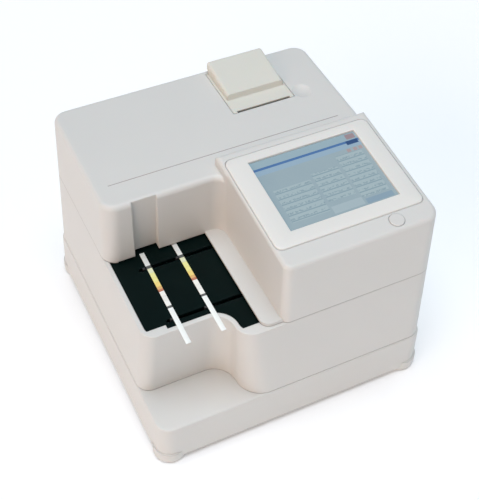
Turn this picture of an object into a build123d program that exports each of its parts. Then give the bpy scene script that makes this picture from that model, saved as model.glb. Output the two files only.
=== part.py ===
from build123d import *
from math import atan2, cos, degrees, pi, radians, sin, sqrt, tan
import os

os.makedirs("parts", exist_ok=True)

# Benchtop urine analyzer. Millimetres, +Z up, +Y to the rear, +X to the right as the user sees it.
# The origin is on the table top, under the middle of the instrument.

# ---------------------------------------------------------------- driving dimensions: housings
width = 294.0  # base housing at its underside
depth = 292.0
draft = 2.0  # degrees, all outer walls
foot_height = 6.0
base_height = 48.0
middle_height = 97.5
top_height = 73.5
corner_radius = 16.0
wall = 3.0
tier_step = 1.0  # the two upper housings stand this far inside the base
base_edge_round = 2.0
base_foot_round = 1.5
roof_edge_round = 5.0
seam_round = 0.8
inner_round = 1.0

# finger scoop in the middle housing, low and high: its back from the front, its side from the left
scoop_reach_low = 51.0
scoop_reach_high = 40.0
scoop_length_low = 91.5
scoop_length_high = 85.0
scoop_curve_low = 22.5
scoop_curve_high = 16.0
scoop_corner = 14.0

# top housing, with the screen block at its front right
pit_depth = 135.5  # from the front to the wall over the pit
pit_corner = 11.0
block_width = 168.5
block_overlap = 16.5  # the block's top runs on behind the pit wall
block_corner = 9.0
screen_drop = 1.5  # screen face at the front, below the roof
screen_slope = 4.7  # degrees
block_edge_round = 4.0
tunnel_height = 1.7
tunnel_inset = 15.0  # from the front
rail_width = 17.5
rail_inset = 9.0  # from the front
rail_thickness = 2.2
rail_corner = 10.0
recess_inset = 35.5  # from the left
recess_width = 24.5
recess_depth_low = 9.0
recess_depth_high = 3.0

# strip table
rim_width = 5.0
table_gap = 0.4
table_drop = 1.0  # table face below the rim
table_thickness = 3.0
table_inset = 18.0  # from the front
table_overlap = 14.5  # behind the pit wall
table_overhang = 39.0  # past the middle of the reading gantry
table_notch_width = 30.5  # cut-out at the front left, from the left
table_notch_reach = 50.5  # and from the front
deck_overlap = 11.5  # past the block's left wall
shelf_width = 4.0
shelf_thickness = 3.0
slot_front_offset = 36.0  # transport slots, either side of the belt
slot_rear_offset = 30.0
slot_inset = 32.5  # from the left
slot_end_gap = 16.5  # before the block's left wall
slot_width = 4.0

# test strips
strip_width = 5.6
strip_length = 117.0
strip_thickness = 0.35
pad_thickness = 0.3
strip_overlap = 4.0  # behind the pit wall
strip_inset = 43.0  # from the left
strip_pitch = 34.0
strip_clearance = 0.15
pad_block_length = 17.0
pad_row_start = 21.0
pad_row_length = 49.0

# carriage, rods and belt
chassis_drop = 11.5  # below the base's top
chassis_thickness = 1.5
sheet = 2.0  # frame sheet metal
transport_inset = 90.0  # belt, from the front
frame_inset = 17.0  # from the left
frame_overhang = 37.0  # past the middle of the reading gantry
frame_half_width = 30.0
frame_drop = 30.0  # frame heights, from the rods
side_drop = 8.0
end_rise = 10.0
leg_width = 12.0
rod_radius = 3.0
rod_drop = 21.5  # below the table
rod_offset = 18.0
running_clearance = 0.05
carriage_margin = 4.0
carriage_drop = 5.5  # carriage faces, from the rods
carriage_rise = 6.0
blade_width = 2.4
blade_gap = 1.5
blade_side_gap = 0.8
blade_above_table = 1.4
belt_width = 6.0
belt_thickness = 1.2
belt_gap = 0.3
pulley_radius = 6.4
pulley_flange = 8.4
flange_thickness = 1.0
pulley_drop = 18.0  # below the rods
idler_inset = 33.0  # from the left
motor_offset = 23.0  # past the middle of the reading gantry
motor_size = 35.0
motor_length = 26.0
motor_bore_spare = 1.0
shaft_radius = 2.5

# reading head
gantry_inset = 126.0  # its middle, from the right
gantry_width = 46.0
gantry_front_inset = 12.0
gantry_length = 142.0
gantry_rise = 44.5  # above the seam
head_bar_offset = 11.0  # rod and screw, either side of the middle
head_axis_rise = 27.5
head_width = 38.0
head_length = 28.0
head_gap = 5.5  # above the seam
head_height = 31.0
head_parking_gap = 1.5  # before the pit wall
head_motor_size = 28.0
head_motor_length = 26.0
lens_radius = 7.0
lens_thickness = 2.0
tile_size = 12.0
tile_thickness = 1.0

# waste drawer
drawer_inset = 21.0  # from the front
drawer_span = 128.0
bin_offset = 43.0  # past the middle of the reading gantry
bin_floor_rise = 10.0  # above the base's top
bin_rim_drop = 23.5  # below the seam
drawer_front_inset = 10.0  # from the right
drawer_gap = 0.5
drawer_window_rise = 7.0
drawer_window_drop = 10.5
drawer_window_margin = 4.0
window_corner = 3.0
bin_wall = 2.0
notch_width = 40.0
notch_depth = 10.0
runner_width = 6.0
runner_inset = 4.0
slide_gap = 0.3

# screen: places in the sloping face, and heights measured square to it
bezel_inset_x = 89.5  # middle of the bezel, from the right
bezel_inset_y = 86.0  # and from the front
bezel_width = 151.0
bezel_height = 113.5
bezel_corner = 7.0
bezel_thickness = 2.5
bezel_proud = 1.0
bezel_gap = 0.25
lcd_shift_x = 1.4
lcd_shift_y = 3.8
lcd_width = 115.2
lcd_height = 86.4
touch_margin = 5.0
touch_thickness = 1.5
lcd_margin = 9.0
lcd_thickness = 8.0
board_thickness = 1.6

# standby button
button_inset_x = 50.0  # from the right
button_inset_y = 20.5  # from the front
button_radius = 7.2
button_gap = 0.3
button_proud = 0.8
button_flange = 0.9
button_travel = 1.2
button_stem = 3.0
button_post_x = 12.0
button_post_radius = 2.0
button_board_depth = 10.4
spring_wire = 0.4
spring_radius = 5.0
spring_turns = 5

# printer
cover_inset = 88.0  # its middle, from the right
cover_width = 68.0
cover_length = 70.3  # from the front edge to the hinge
cover_gap = 0.4
cover_thickness = 2.5
ear_spread = 24.0
ear_width = 4.0
slot_length = 58.0
slot_depth = 2.4
hump_margin = 3.0
hump_length = 50.5  # from its front to the hinge
hump_lean = 2.0
hump_front_rise = 6.0
hump_rear_rise = 12.0
hump_round = 3.0
hump_wall = 2.0
hinge_inset = 12.5  # from the rear
hinge_rise = 2.6  # above the roof
hinge_barrel = 2.3
hinge_pin = 1.2
bay_wall = 2.0
roll_offset = 30.5  # before the hinge
roll_drop = 25.5  # below the roof
roll_radius = 26.0
roll_width = 57.0
core_radius = 6.2
spindle_radius = 4.0
bay_clearance = 1.5
platen_offset = 1.4  # behind the cover's front edge
platen_drop = 17.0
platen_radius = 5.0
platen_shaft = 1.5
gear_module = 0.8
platen_teeth = 24
pinion_teeth = 12
gear_width = 3.0
gear_backlash = 0.25
gear_tip = 0.9
printer_drop = 43.0
printer_reach = 8.5
printer_motor_size = 16.0
printer_motor_length = 20.0
finger_offset_x = 10.0  # right of the cover
finger_offset_y = 4.8  # behind its front edge
finger_radius = 10.0
finger_depth = 2.0

# rear panel and connectors
panel_x = -5.0
panel_width = 150.0
panel_height = 36.0
panel_rise = 22.0  # above the base's top
panel_inset = 8.0  # outer face, from the rear
panel_sheet = 1.5
panel_overlap = 4.0
panel_frame = 2.5
port_gap = 0.2
inlet_x, inlet_width, inlet_height = -56.0, 28.0, 20.0
inlet_depth = 16.0
pin_pitch = 7.0
switch_x, switch_width, switch_height = -22.0, 14.0, 23.0
switch_wall = 1.2
switch_pivot = 3.5
rocker_radius = 10.0
rocker_valley = 4.6
rocker_edge = 6.4
rocker_tilt = 10.0  # degrees
serial_x, serial_width, serial_height = 16.0, 31.0, 12.5
serial_shell_width = 18.6
serial_shell_height = 8.75
serial_shell_slant = 80.0  # degrees
serial_shell_wall = 1.0
port_x, port_width, port_height = 50.0, 16.0, 13.5
connector_proud = 3.0

# boards inside the base
board_x = -5.0
board_inset = 84.0  # its middle, from the rear
board_width = 110.0
board_depth = 110.0
board_lift = 6.0
chip_size = 14.0
chip_columns = 3
chip_rows = 2
socket_count = 4
supply_x = 45.0
supply_inset = 71.0  # its middle, from the front
supply_width = 110.0
supply_depth = 70.0
supply_height = 28.0
vent_pitch = 8.0
vent_count = 9
vent_length = 50.0
vent_width = 2.5

# feet, bosses and fasteners
foot_radius = 17.0
foot_bulge = 1.2
foot_low = 1.5
foot_boss_height = 14.0
foot_edge_round = 1.0
pad_radius = 12.0
pad_height = 3.0
pad_gap = 0.2
pad_chamfer = 0.6
column_radius = 7.0
screw_radius = 2.0
screw_head = 3.6
column_merge = 1.0
screw_seat = 12.0
column_height = 20.0
boss_radius = 5.0
chassis_gap = 1.0
chassis_screw_radius = 1.5
chassis_screw_length = 8.0
cable_hole = 24.0



def half_width(z):
    return width / 2 - (z - foot_height) * tan(radians(draft))


def half_depth(z):
    return depth / 2 - (z - foot_height) * tan(radians(draft))


def screen_height(y):
    return screen_front_height + (y + depth / 2) * tan(radians(screen_slope))


def screen_plane(x, y, above=0.0):
    """A plane in the sloping screen face, moved square to the face by above."""
    normal = (0, -sin(radians(screen_slope)), cos(radians(screen_slope)))
    origin = Vector(x, y, screen_height(y)) + Vector(*normal) * above
    return Plane(origin=origin, x_dir=(1, 0, 0), z_dir=normal)


def quarter(start, end, centre):
    """An arc of less than a half turn from start to end about centre."""
    start, end, centre = Vector(*start), Vector(*end), Vector(*centre)
    middle = ((start + end) * 0.5 - centre).normalized() * (start - centre).length + centre
    ThreePointArc(start, middle, end)


# ---------------------------------------------------------------- housing outlines
def drafted_block(low, high, inset=0.0):
    """A rounded rectangular block whose sides follow the drafted outer walls."""
    with BuildPart() as block:
        with BuildSketch(Plane.XY.offset(low)):
            RectangleRounded(
                2 * (half_width(low) - inset), 2 * (half_depth(low) - inset), corner_radius - inset
            )
        extrude(amount=high - low, taper=draft)
    return block.part


def middle_outline(z, inset):
    """Plan of the middle housing at height z: a rounded rectangle with the S-curved finger scoop."""
    share = (z - base_top) / (seam_height - base_top)
    back = scoop_back_low + share * (scoop_back_high - scoop_back_low) + inset
    side = scoop_side_low + share * (scoop_side_high - scoop_side_low) + inset
    inner = scoop_curve_low + share * (scoop_curve_high - scoop_curve_low) + inset
    x, y = half_width(z) - inset, half_depth(z) - inset
    r, corner = corner_radius - inset, scoop_corner - inset
    outer = back - inner + y
    with BuildSketch() as plan:
        with BuildLine():
            Line((side + outer, -y), (x - r, -y))
            quarter((x - r, -y), (x, -y + r), (x - r, -y + r))
            Line((x, -y + r), (x, y - r))
            quarter((x, y - r), (x - r, y), (x - r, y - r))
            Line((x - r, y), (-x + r, y))
            quarter((-x + r, y), (-x, y - r), (-x + r, y - r))
            Line((-x, y - r), (-x, back + corner))
            quarter((-x, back + corner), (-x + corner, back), (-x + corner, back + corner))
            Line((-x + corner, back), (side - inner, back))
            quarter((side - inner, back), (side, back - inner), (side - inner, back - inner))
            quarter((side, back - inner), (side + outer, -y), (side + outer, back - inner))
        make_face()
    return plan.sketch


def upper_outline(z, inset):
    """Plan of the top housing at height z: full width behind the pit, and the screen block."""
    x, y = half_width(z) - inset, half_depth(z) - inset
    r, corner, hollow = corner_radius - inset, block_corner - inset, pit_corner + inset
    left, back = block_left + inset, pit_wall_y + inset
    with BuildSketch() as plan:
        with BuildLine():
            Line((left + corner, -y), (x - r, -y))
            quarter((x - r, -y), (x, -y + r), (x - r, -y + r))
            Line((x, -y + r), (x, y - r))
            quarter((x, y - r), (x - r, y), (x - r, y - r))
            Line((x - r, y), (-x + r, y))
            quarter((-x + r, y), (-x, y - r), (-x + r, y - r))
            Line((-x, y - r), (-x, back + r))
            quarter((-x, back + r), (-x + r, back), (-x + r, back + r))
            Line((-x + r, back), (left - hollow, back))
            quarter((left - hollow, back), (left, back - hollow), (left - hollow, back - hollow))
            Line((left, back - hollow), (left, -y + corner))
            quarter((left, -y + corner), (left + corner, -y), (left + corner, -y + corner))
        make_face()
    return plan.sketch


def lofted(outline, low, high, inset, low_inset=None):
    """A wall solid between two heights of one outline."""
    with BuildPart() as form:
        with BuildSketch(Plane.XY.offset(low)):
            add(outline(low, inset if low_inset is None else low_inset))
        with BuildSketch(Plane.XY.offset(high)):
            add(outline(high, inset))
        loft(ruled=True)
    return form.part


def upper_form(bottom, inset, shell):
    """The top housing as a solid, set in by shell: flat roof and sloping screen block."""
    roof = roof_height - shell
    edge = roof_edge_round - shell
    flat = lofted(upper_outline, bottom, roof, inset + shell)
    tall = lofted(upper_outline, bottom, screen_height(depth / 2), inset + shell)
    block_x, block_y = block_left + shell, block_rear - shell
    with BuildPart() as rear:
        add(flat)
        fillet(rear.faces().sort_by(Axis.Z)[-1].edges(), edge)
        with BuildSketch(Plane.XY.offset(bottom)):
            with Locations((block_x, block_y)):
                Rectangle(width, depth, align=(Align.MIN, Align.MAX))
        extrude(amount=depth, mode=Mode.SUBTRACT)
    with BuildPart() as block:
        add(tall)
        with BuildSketch(Plane.XY.offset(bottom)):
            with Locations((block_x, block_y)):
                Rectangle(width, depth, align=(Align.MIN, Align.MAX))
        extrude(amount=depth, mode=Mode.INTERSECT)
        split(bisect_by=screen_plane(0, 0, -shell), keep=Keep.BOTTOM)
        top = block.faces().sort_by(Axis.Z)[-1]
        fillet(top.edges(), block_edge_round - min(shell, block_edge_round - inner_round))
    with BuildPart() as whole:
        add(rear.part)
        add(block.part)
    return whole.part


def bar_x(x, y, z, radius, bore=0.0):
    """A round bar along X between two places, with an optional bore."""
    with BuildPart() as bar:
        with BuildSketch(Plane.YZ.offset(x[0])):
            with Locations((y, z)):
                Circle(radius)
                if bore:
                    Circle(bore, mode=Mode.SUBTRACT)
        extrude(amount=x[1] - x[0])
    return bar.part


def bar_y(x, y, z, radius, bore=0.0):
    """A round bar along Y between two places, with an optional bore."""
    with BuildPart() as bar:
        with BuildSketch(Plane.XZ.offset(-y[0])):
            with Locations((x, z)):
                Circle(radius)
                if bore:
                    Circle(bore, mode=Mode.SUBTRACT)
        extrude(amount=y[0] - y[1])
    return bar.part


def save(piece, name):
    """Label a finished piece and write it as its own node."""
    piece.part.label = name
    export_step(piece.part, f"parts/{name}.step")


# ---------------------------------------------------------------- places worked out from the sizes
base_top = foot_height + base_height
seam_height = base_top + middle_height
roof_height = seam_height + top_height
floor = foot_height + wall
scoop_back_low = scoop_reach_low - depth / 2
scoop_back_high = scoop_reach_high - depth / 2
scoop_side_low = scoop_length_low - width / 2
scoop_side_high = scoop_length_high - width / 2
pit_wall_y = pit_depth - depth / 2
block_left = width / 2 - block_width
block_rear = pit_wall_y + block_overlap
screen_front_height = roof_height - screen_drop
tunnel_front = tunnel_inset - depth / 2
rail_left = block_left - rail_width
rail_front = rail_inset - depth / 2
recess_left = recess_inset - width / 2
recess_right = recess_left + recess_width
gantry_x = width / 2 - gantry_inset
table_top = seam_height - table_drop
table_low = table_top - table_thickness
table_front = table_inset - depth / 2
table_rear = pit_wall_y + table_overlap
table_right = gantry_x + table_overhang
table_notch_x = table_notch_width - width / 2
table_notch_y = table_notch_reach - depth / 2
deck_right = block_left + deck_overlap
belt_y = transport_inset - depth / 2
slot_front_y = belt_y - slot_front_offset
slot_rear_y = belt_y + slot_rear_offset
slot_left = slot_inset - width / 2
slot_right = block_left - slot_end_gap
strip_rear = pit_wall_y + strip_overlap
strip_first_x = strip_inset - width / 2
chassis_height = base_top - chassis_drop
chassis_top = chassis_height + chassis_thickness
rod_height = table_low - rod_drop
rod_front_y = belt_y - rod_offset
rod_rear_y = belt_y + rod_offset
frame_left = frame_inset - width / 2
frame_right = gantry_x + frame_overhang
frame_front = belt_y - frame_half_width
frame_rear = belt_y + frame_half_width
frame_low = rod_height - frame_drop
side_high = rod_height - side_drop
end_high = rod_height + end_rise
carriage_low = rod_height - carriage_drop
carriage_high = rod_height + carriage_rise
pulley_height = rod_height - pulley_drop
idler_x = idler_inset - width / 2
motor_x = gantry_x + motor_offset
gantry_front = gantry_front_inset - depth / 2
gantry_rear = gantry_front + gantry_length
gantry_high = seam_height + gantry_rise
head_rod_x = gantry_x + head_bar_offset
head_screw_x = gantry_x - head_bar_offset
head_axis_height = seam_height + head_axis_rise
head_low = seam_height + head_gap
head_high = head_low + head_height
head_rear = pit_wall_y - head_parking_gap
head_y = head_rear - head_length / 2
drawer_y = drawer_inset + drawer_span / 2 - depth / 2
drawer_left = gantry_x + bin_offset
drawer_inner = width / 2 - drawer_front_inset
drawer_low = base_top + bin_floor_rise
drawer_high = seam_height - bin_rim_drop
drawer_window_low = base_top + drawer_window_rise
drawer_window_high = seam_height - drawer_window_drop
bezel_x = width / 2 - bezel_inset_x
bezel_y = bezel_inset_y - depth / 2
lcd_x = bezel_x + lcd_shift_x
lcd_y = bezel_y + lcd_shift_y
button_x = width / 2 - button_inset_x
button_y = button_inset_y - depth / 2
hinge_y = depth / 2 - hinge_inset
hinge_height = roof_height + hinge_rise
cover_x = width / 2 - cover_inset
cover_left = cover_x - cover_width / 2
cover_right = cover_x + cover_width / 2
cover_front = hinge_y - cover_length
hump_left = cover_left + hump_margin
hump_right = cover_right - hump_margin
hump_front = hinge_y - hump_length
finger_x = cover_right + finger_offset_x
finger_y = cover_front + finger_offset_y
roll_y = hinge_y - roll_offset
roll_height = roof_height - roll_drop
platen_y = cover_front + platen_offset
platen_height = roof_height - platen_drop
printer_low = roof_height - printer_drop
panel_plane = depth / 2 - panel_inset
panel_z = base_top + panel_rise + panel_height / 2
board_y = depth / 2 - board_inset
board_height = floor + board_lift
supply_y = supply_inset - depth / 2
column_curve = corner_radius - tier_step - wall - column_radius + column_merge
column_inset = corner_radius - column_curve / sqrt(2)
column_x = half_width(base_top) - column_inset
column_y = half_depth(base_top) - column_inset
front_left_column = (
    column_radius + wall + tier_step - column_merge - half_width(base_top),
    scoop_back_low + tier_step + wall + column_radius + 2 * column_merge,
)
column_spots = [(column_x, column_y), (-column_x, column_y), (column_x, -column_y), front_left_column]
foot_x = half_width(foot_height) + foot_bulge - foot_radius
foot_y = half_depth(foot_height) + foot_bulge - foot_radius
chassis_x = column_x - column_radius - chassis_gap
chassis_y = column_y - column_radius - chassis_gap
boss_x = chassis_x - 2 * boss_radius
boss_y = chassis_y - 2 * boss_radius
board_boss_x = board_width / 2 - boss_radius
board_boss_y = board_depth / 2 - boss_radius

# ---------------------------------------------------------------- base housing
with BuildPart() as base_housing:
    add(drafted_block(foot_height, base_top))
    fillet(base_housing.faces().sort_by(Axis.Z)[-1].edges(), base_edge_round)
    fillet(base_housing.faces().sort_by(Axis.Z)[0].edges(), base_foot_round)
    # rounded feet that bulge past the corners
    with BuildSketch(Plane.XY.offset(foot_low)):
        with GridLocations(2 * foot_x, 2 * foot_y, 2, 2):
            Circle(foot_radius)
    extrude(amount=foot_boss_height - foot_low)
    foot_ends = base_housing.edges().filter_by(GeomType.CIRCLE).group_by(Axis.Z)[0]
    fillet(foot_ends, foot_edge_round)
    add(drafted_block(floor, base_top - wall, wall), mode=Mode.SUBTRACT)
    with BuildSketch(Plane.XY.offset(base_top - wall)):
        add(middle_outline(base_top, wall + 2 * tier_step))
    extrude(amount=wall, mode=Mode.SUBTRACT)
    with BuildSketch(Plane.XY.offset(foot_low)):
        with GridLocations(2 * foot_x, 2 * foot_y, 2, 2):
            Circle(pad_radius + pad_gap)
    extrude(amount=pad_height - foot_low, mode=Mode.SUBTRACT)
    # screw columns, chassis bosses and board bosses
    with BuildSketch(Plane.XY.offset(floor)):
        with Locations(*column_spots):
            Circle(column_radius)
    extrude(amount=base_top - floor)
    with BuildSketch(Plane.XY.offset(floor)):
        with GridLocations(2 * boss_x, 2 * boss_y, 2, 2):
            Circle(boss_radius)
    extrude(amount=chassis_height - floor)
    with BuildSketch(Plane.XY.offset(floor)):
        with Locations((board_x, board_y)):
            with GridLocations(2 * board_boss_x, 2 * board_boss_y, 2, 2):
                Circle(boss_radius)
    extrude(amount=board_lift)
    # screw holes from below, and floor vents under the main board
    with BuildSketch(Plane.XY.offset(foot_low)):
        with Locations(*column_spots):
            Circle(screw_radius + running_clearance)
    extrude(amount=base_top - foot_low, mode=Mode.SUBTRACT)
    with BuildSketch(Plane.XY.offset(foot_low)):
        with Locations(*column_spots):
            Circle(screw_head + pad_gap)
    extrude(amount=screw_seat - foot_low, mode=Mode.SUBTRACT)
    with BuildSketch(Plane.XY.offset(chassis_height - chassis_screw_length)):
        with GridLocations(2 * boss_x, 2 * boss_y, 2, 2):
            Circle(chassis_screw_radius + running_clearance)
    extrude(amount=chassis_screw_length, mode=Mode.SUBTRACT)
    with BuildSketch(Plane.XY.offset(foot_height)):
        with Locations((board_x, board_y)):
            with GridLocations(vent_pitch, 0, vent_count, 1):
                SlotOverall(vent_length, vent_width, rotation=90)
    extrude(amount=wall, mode=Mode.SUBTRACT)
save(base_housing, "base_housing")

with BuildPart() as foot_pads:
    with BuildSketch():
        with GridLocations(2 * foot_x, 2 * foot_y, 2, 2):
            Circle(pad_radius)
    extrude(amount=pad_height)
    chamfer(foot_pads.edges().group_by(Axis.Z)[0], pad_chamfer)
save(foot_pads, "foot_pads")


# ---------------------------------------------------------------- middle housing
def table_plan(grow):
    """Plan of the strip table, which follows the scoop's curve inside the rim."""
    with BuildSketch() as plan:
        add(middle_outline(seam_height, tier_step + rim_width - grow))
        with Locations((table_right + grow, table_front - grow)):
            Rectangle(
                width, table_rear - table_front + 2 * grow,
                align=(Align.MAX, Align.MIN), mode=Mode.INTERSECT,
            )
        with Locations((table_notch_x - grow, table_notch_y - grow)):
            Rectangle(width, depth, align=(Align.MAX, Align.MAX), mode=Mode.SUBTRACT)
    return plan.sketch


window_z = (drawer_window_low + drawer_window_high) / 2
window_height = drawer_window_high - drawer_window_low

with BuildPart() as middle_housing:
    add(lofted(middle_outline, base_top, seam_height, tier_step))
    fillet(middle_housing.faces().sort_by(Axis.Z)[-1].edges(), seam_round)
    add(lofted(middle_outline, base_top, seam_height, tier_step + wall), mode=Mode.SUBTRACT)
    # deck that carries the strip table along its left and front edges
    with BuildSketch(Plane.XY.offset(table_low - shelf_thickness)):
        add(middle_outline(seam_height, wall))
        with Locations((deck_right, table_rear)):
            Rectangle(width, depth, align=(Align.MAX, Align.MAX), mode=Mode.INTERSECT)
        add(table_plan(-shelf_width), mode=Mode.SUBTRACT)
    extrude(amount=seam_height - table_low + shelf_thickness)
    with BuildSketch(Plane.XY.offset(table_low)):
        add(table_plan(table_gap))
    extrude(amount=seam_height - table_low, mode=Mode.SUBTRACT)
    with BuildSketch(Plane.XY.offset(base_top)):
        with Locations(*column_spots):
            Circle(column_radius)
    extrude(amount=column_height)
    with BuildSketch(Plane.XY.offset(base_top)):
        with Locations(*column_spots):
            Circle(screw_radius + running_clearance)
    extrude(amount=column_height - wall, mode=Mode.SUBTRACT)
    # drawer window in the right wall
    with BuildSketch(Plane.YZ.offset(drawer_inner - wall)):
        with Locations((drawer_y, window_z)):
            RectangleRounded(drawer_span + 2 * drawer_window_margin, window_height, window_corner)
    extrude(amount=width / 2 - drawer_inner + wall, mode=Mode.SUBTRACT)
    # flat frame and window for the rear panel
    with BuildSketch(Plane.XZ.offset(-panel_plane)):
        with Locations((panel_x, panel_z)):
            Rectangle(panel_width + 2 * panel_overlap, panel_height + 2 * panel_overlap)
    extrude(amount=-panel_frame)
    with BuildSketch(Plane.XZ.offset(wall - panel_plane)):
        with Locations((panel_x, panel_z)):
            RectangleRounded(panel_width, panel_height, window_corner)
    extrude(amount=-3 * wall, mode=Mode.SUBTRACT)
save(middle_housing, "middle_housing")

# ---------------------------------------------------------------- top housing
opening_rear = hinge_y - hinge_barrel - cover_gap
dish_radius = (finger_radius**2 + finger_depth**2) / (2 * finger_depth)
touch_width = lcd_width + 2 * touch_margin
touch_height = lcd_height + 2 * touch_margin
bezel_seat = bezel_proud - bezel_thickness


def recess_form(front, back):
    """The shallow recess in the wall over the pit, between two set-backs."""
    with BuildPart() as form:
        with BuildSketch(Plane.YZ.offset(recess_left - back)):
            with BuildLine():
                Polyline(
                    (pit_wall_y + front, seam_height),
                    (pit_wall_y + recess_depth_low + back, seam_height),
                    (pit_wall_y + recess_depth_high + back, roof_height + wall),
                    (pit_wall_y + front, roof_height + wall),
                    close=True,
                )
            make_face()
        extrude(amount=recess_right - recess_left + 2 * back)
    return form.part


top_form = upper_form(seam_height, tier_step, 0)
with BuildPart() as recess_backing:
    add(recess_form(wall / 2, wall))
    add(top_form, mode=Mode.INTERSECT)

with BuildPart() as top_housing:
    add(top_form)
    add(upper_form(seam_height, tier_step, wall), mode=Mode.SUBTRACT)
    add(recess_backing.part)
    add(recess_form(-wall, 0), mode=Mode.SUBTRACT)
    # low rail beside the pit
    with BuildSketch(Plane.XY.offset(seam_height)) as rail_plan:
        with Locations((rail_left, rail_front)):
            Rectangle(
                block_left + wall - rail_left, pit_wall_y + wall - rail_front,
                align=(Align.MIN, Align.MIN),
            )
        fillet(rail_plan.vertices().group_by(Axis.Y)[0].sort_by(Axis.X)[0], rail_corner)
    extrude(amount=tunnel_height + rail_thickness)
    # strips pass under the walls
    with BuildSketch(Plane.XY.offset(seam_height)):
        with Locations((table_notch_x - 4 * wall, tunnel_front)):
            Rectangle(
                block_left + 2 * wall - table_notch_x + 4 * wall, table_rear - tunnel_front,
                align=(Align.MIN, Align.MIN),
            )
    extrude(amount=tunnel_height, mode=Mode.SUBTRACT)
    # screen pocket, display opening and button hole
    with BuildSketch(screen_plane(bezel_x, bezel_y, bezel_seat)):
        RectangleRounded(bezel_width + 2 * bezel_gap, bezel_height + 2 * bezel_gap, bezel_corner)
    extrude(amount=2 * wall, mode=Mode.SUBTRACT)
    with BuildSketch(screen_plane(lcd_x, lcd_y, -2 * wall)):
        Rectangle(touch_width + 2 * bezel_gap, touch_height + 2 * bezel_gap)
    extrude(amount=3 * wall, mode=Mode.SUBTRACT)
    with BuildSketch(screen_plane(button_x, button_y, -2 * wall)):
        Circle(button_radius + button_gap)
    extrude(amount=3 * wall, mode=Mode.SUBTRACT)
    with BuildSketch(screen_plane(button_x, button_y, -button_board_depth)):
        with Locations((-button_post_x, 0), (button_post_x, 0)):
            Circle(button_post_radius)
    extrude(amount=button_board_depth - wall / 2)
    # printer opening, hinge ears and finger dish
    with BuildSketch(Plane.XY.offset(roof_height - 2 * wall)):
        with Locations((cover_left, cover_front)):
            Rectangle(cover_right - cover_left, opening_rear - cover_front, align=(Align.MIN, Align.MIN))
    extrude(amount=3 * wall, mode=Mode.SUBTRACT)
    for ear_x in (cover_x - ear_spread, cover_x + ear_spread):
        with BuildSketch(Plane.YZ.offset(ear_x - ear_width / 2)):
            with Locations((hinge_y, hinge_height)):
                Circle(hinge_barrel)
            with Locations((hinge_y - hinge_barrel, roof_height - wall / 2)):
                Rectangle(
                    hinge_barrel, hinge_rise + wall / 2, align=(Align.MIN, Align.MIN)
                )
            with Locations((hinge_y, hinge_height)):
                Circle(hinge_pin + running_clearance, mode=Mode.SUBTRACT)
        extrude(amount=ear_width)
    with Locations((finger_x, finger_y, roof_height + dish_radius - finger_depth)):
        Sphere(dish_radius, mode=Mode.SUBTRACT)
save(top_housing, "top_housing")

# ---------------------------------------------------------------- strip table and test strips
with BuildPart() as strip_table:
    with BuildSketch(Plane.XY.offset(table_low)):
        add(table_plan(0))
        for slot_y in (slot_front_y, slot_rear_y):
            with Locations(((slot_left + slot_right) / 2, slot_y)):
                SlotOverall(slot_right - slot_left, slot_width, mode=Mode.SUBTRACT)
    extrude(amount=table_thickness)
    with BuildSketch(Plane.XY.offset(table_top - tile_thickness)):
        with Locations((gantry_x, head_y)):
            Rectangle(tile_size + 2 * pad_gap, tile_size + 2 * pad_gap)
    extrude(amount=tile_thickness, mode=Mode.SUBTRACT)
save(strip_table, "strip_table")

with BuildPart() as reference_tile:
    with BuildSketch(Plane.XY.offset(table_top - tile_thickness)):
        with Locations((gantry_x, head_y)):
            Rectangle(tile_size, tile_size)
    extrude(amount=tile_thickness)
save(reference_tile, "reference_tile")

# a strip's rear end lies on the table and its handle on the rim
rim_inner_y = scoop_back_high + tier_step + rim_width
strip_lean = degrees(atan2(table_drop, strip_rear - rim_inner_y))
strip_places = (strip_first_x, strip_first_x + strip_pitch)


def strip_plane(x, above=0.0):
    """A plane in the underside of a strip, at its rear end, moved up by above."""
    normal = (0, sin(radians(strip_lean)), cos(radians(strip_lean)))
    origin = Vector(x, strip_rear, table_top + strip_clearance) + Vector(*normal) * above
    return Plane(origin=origin, x_dir=(1, 0, 0), z_dir=normal)


with BuildPart() as test_strip_first:
    with BuildSketch(strip_plane(strip_places[0])):
        Rectangle(strip_width, strip_length, align=(Align.CENTER, Align.MAX))
    extrude(amount=strip_thickness)
save(test_strip_first, "test_strip_first")

with BuildPart() as test_strip_second:
    with BuildSketch(strip_plane(strip_places[1])):
        Rectangle(strip_width, strip_length, align=(Align.CENTER, Align.MAX))
    extrude(amount=strip_thickness)
save(test_strip_second, "test_strip_second")

with BuildPart() as strip_pads:
    for strip_x in strip_places:
        with BuildSketch(strip_plane(strip_x, strip_thickness)):
            Rectangle(strip_width, pad_block_length, align=(Align.CENTER, Align.MAX))
            with Locations((0, -pad_row_start)):
                Rectangle(strip_width, pad_row_length, align=(Align.CENTER, Align.MAX))
        extrude(amount=pad_thickness)
save(strip_pads, "strip_pads")

# ---------------------------------------------------------------- chassis, boards and fasteners
with BuildPart() as chassis_plate:
    with BuildSketch(Plane.XY.offset(chassis_height)):
        RectangleRounded(2 * chassis_x, 2 * chassis_y, boss_radius)
        with GridLocations(2 * boss_x, 2 * boss_y, 2, 2):
            Circle(chassis_screw_radius + running_clearance, mode=Mode.SUBTRACT)
        with Locations((board_x, board_y)):
            with GridLocations(0, cable_hole + 4 * boss_radius, 1, 2):
                RectangleRounded(board_width - cable_hole, cable_hole, window_corner, mode=Mode.SUBTRACT)
    extrude(amount=chassis_thickness)
save(chassis_plate, "chassis_plate")

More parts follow.
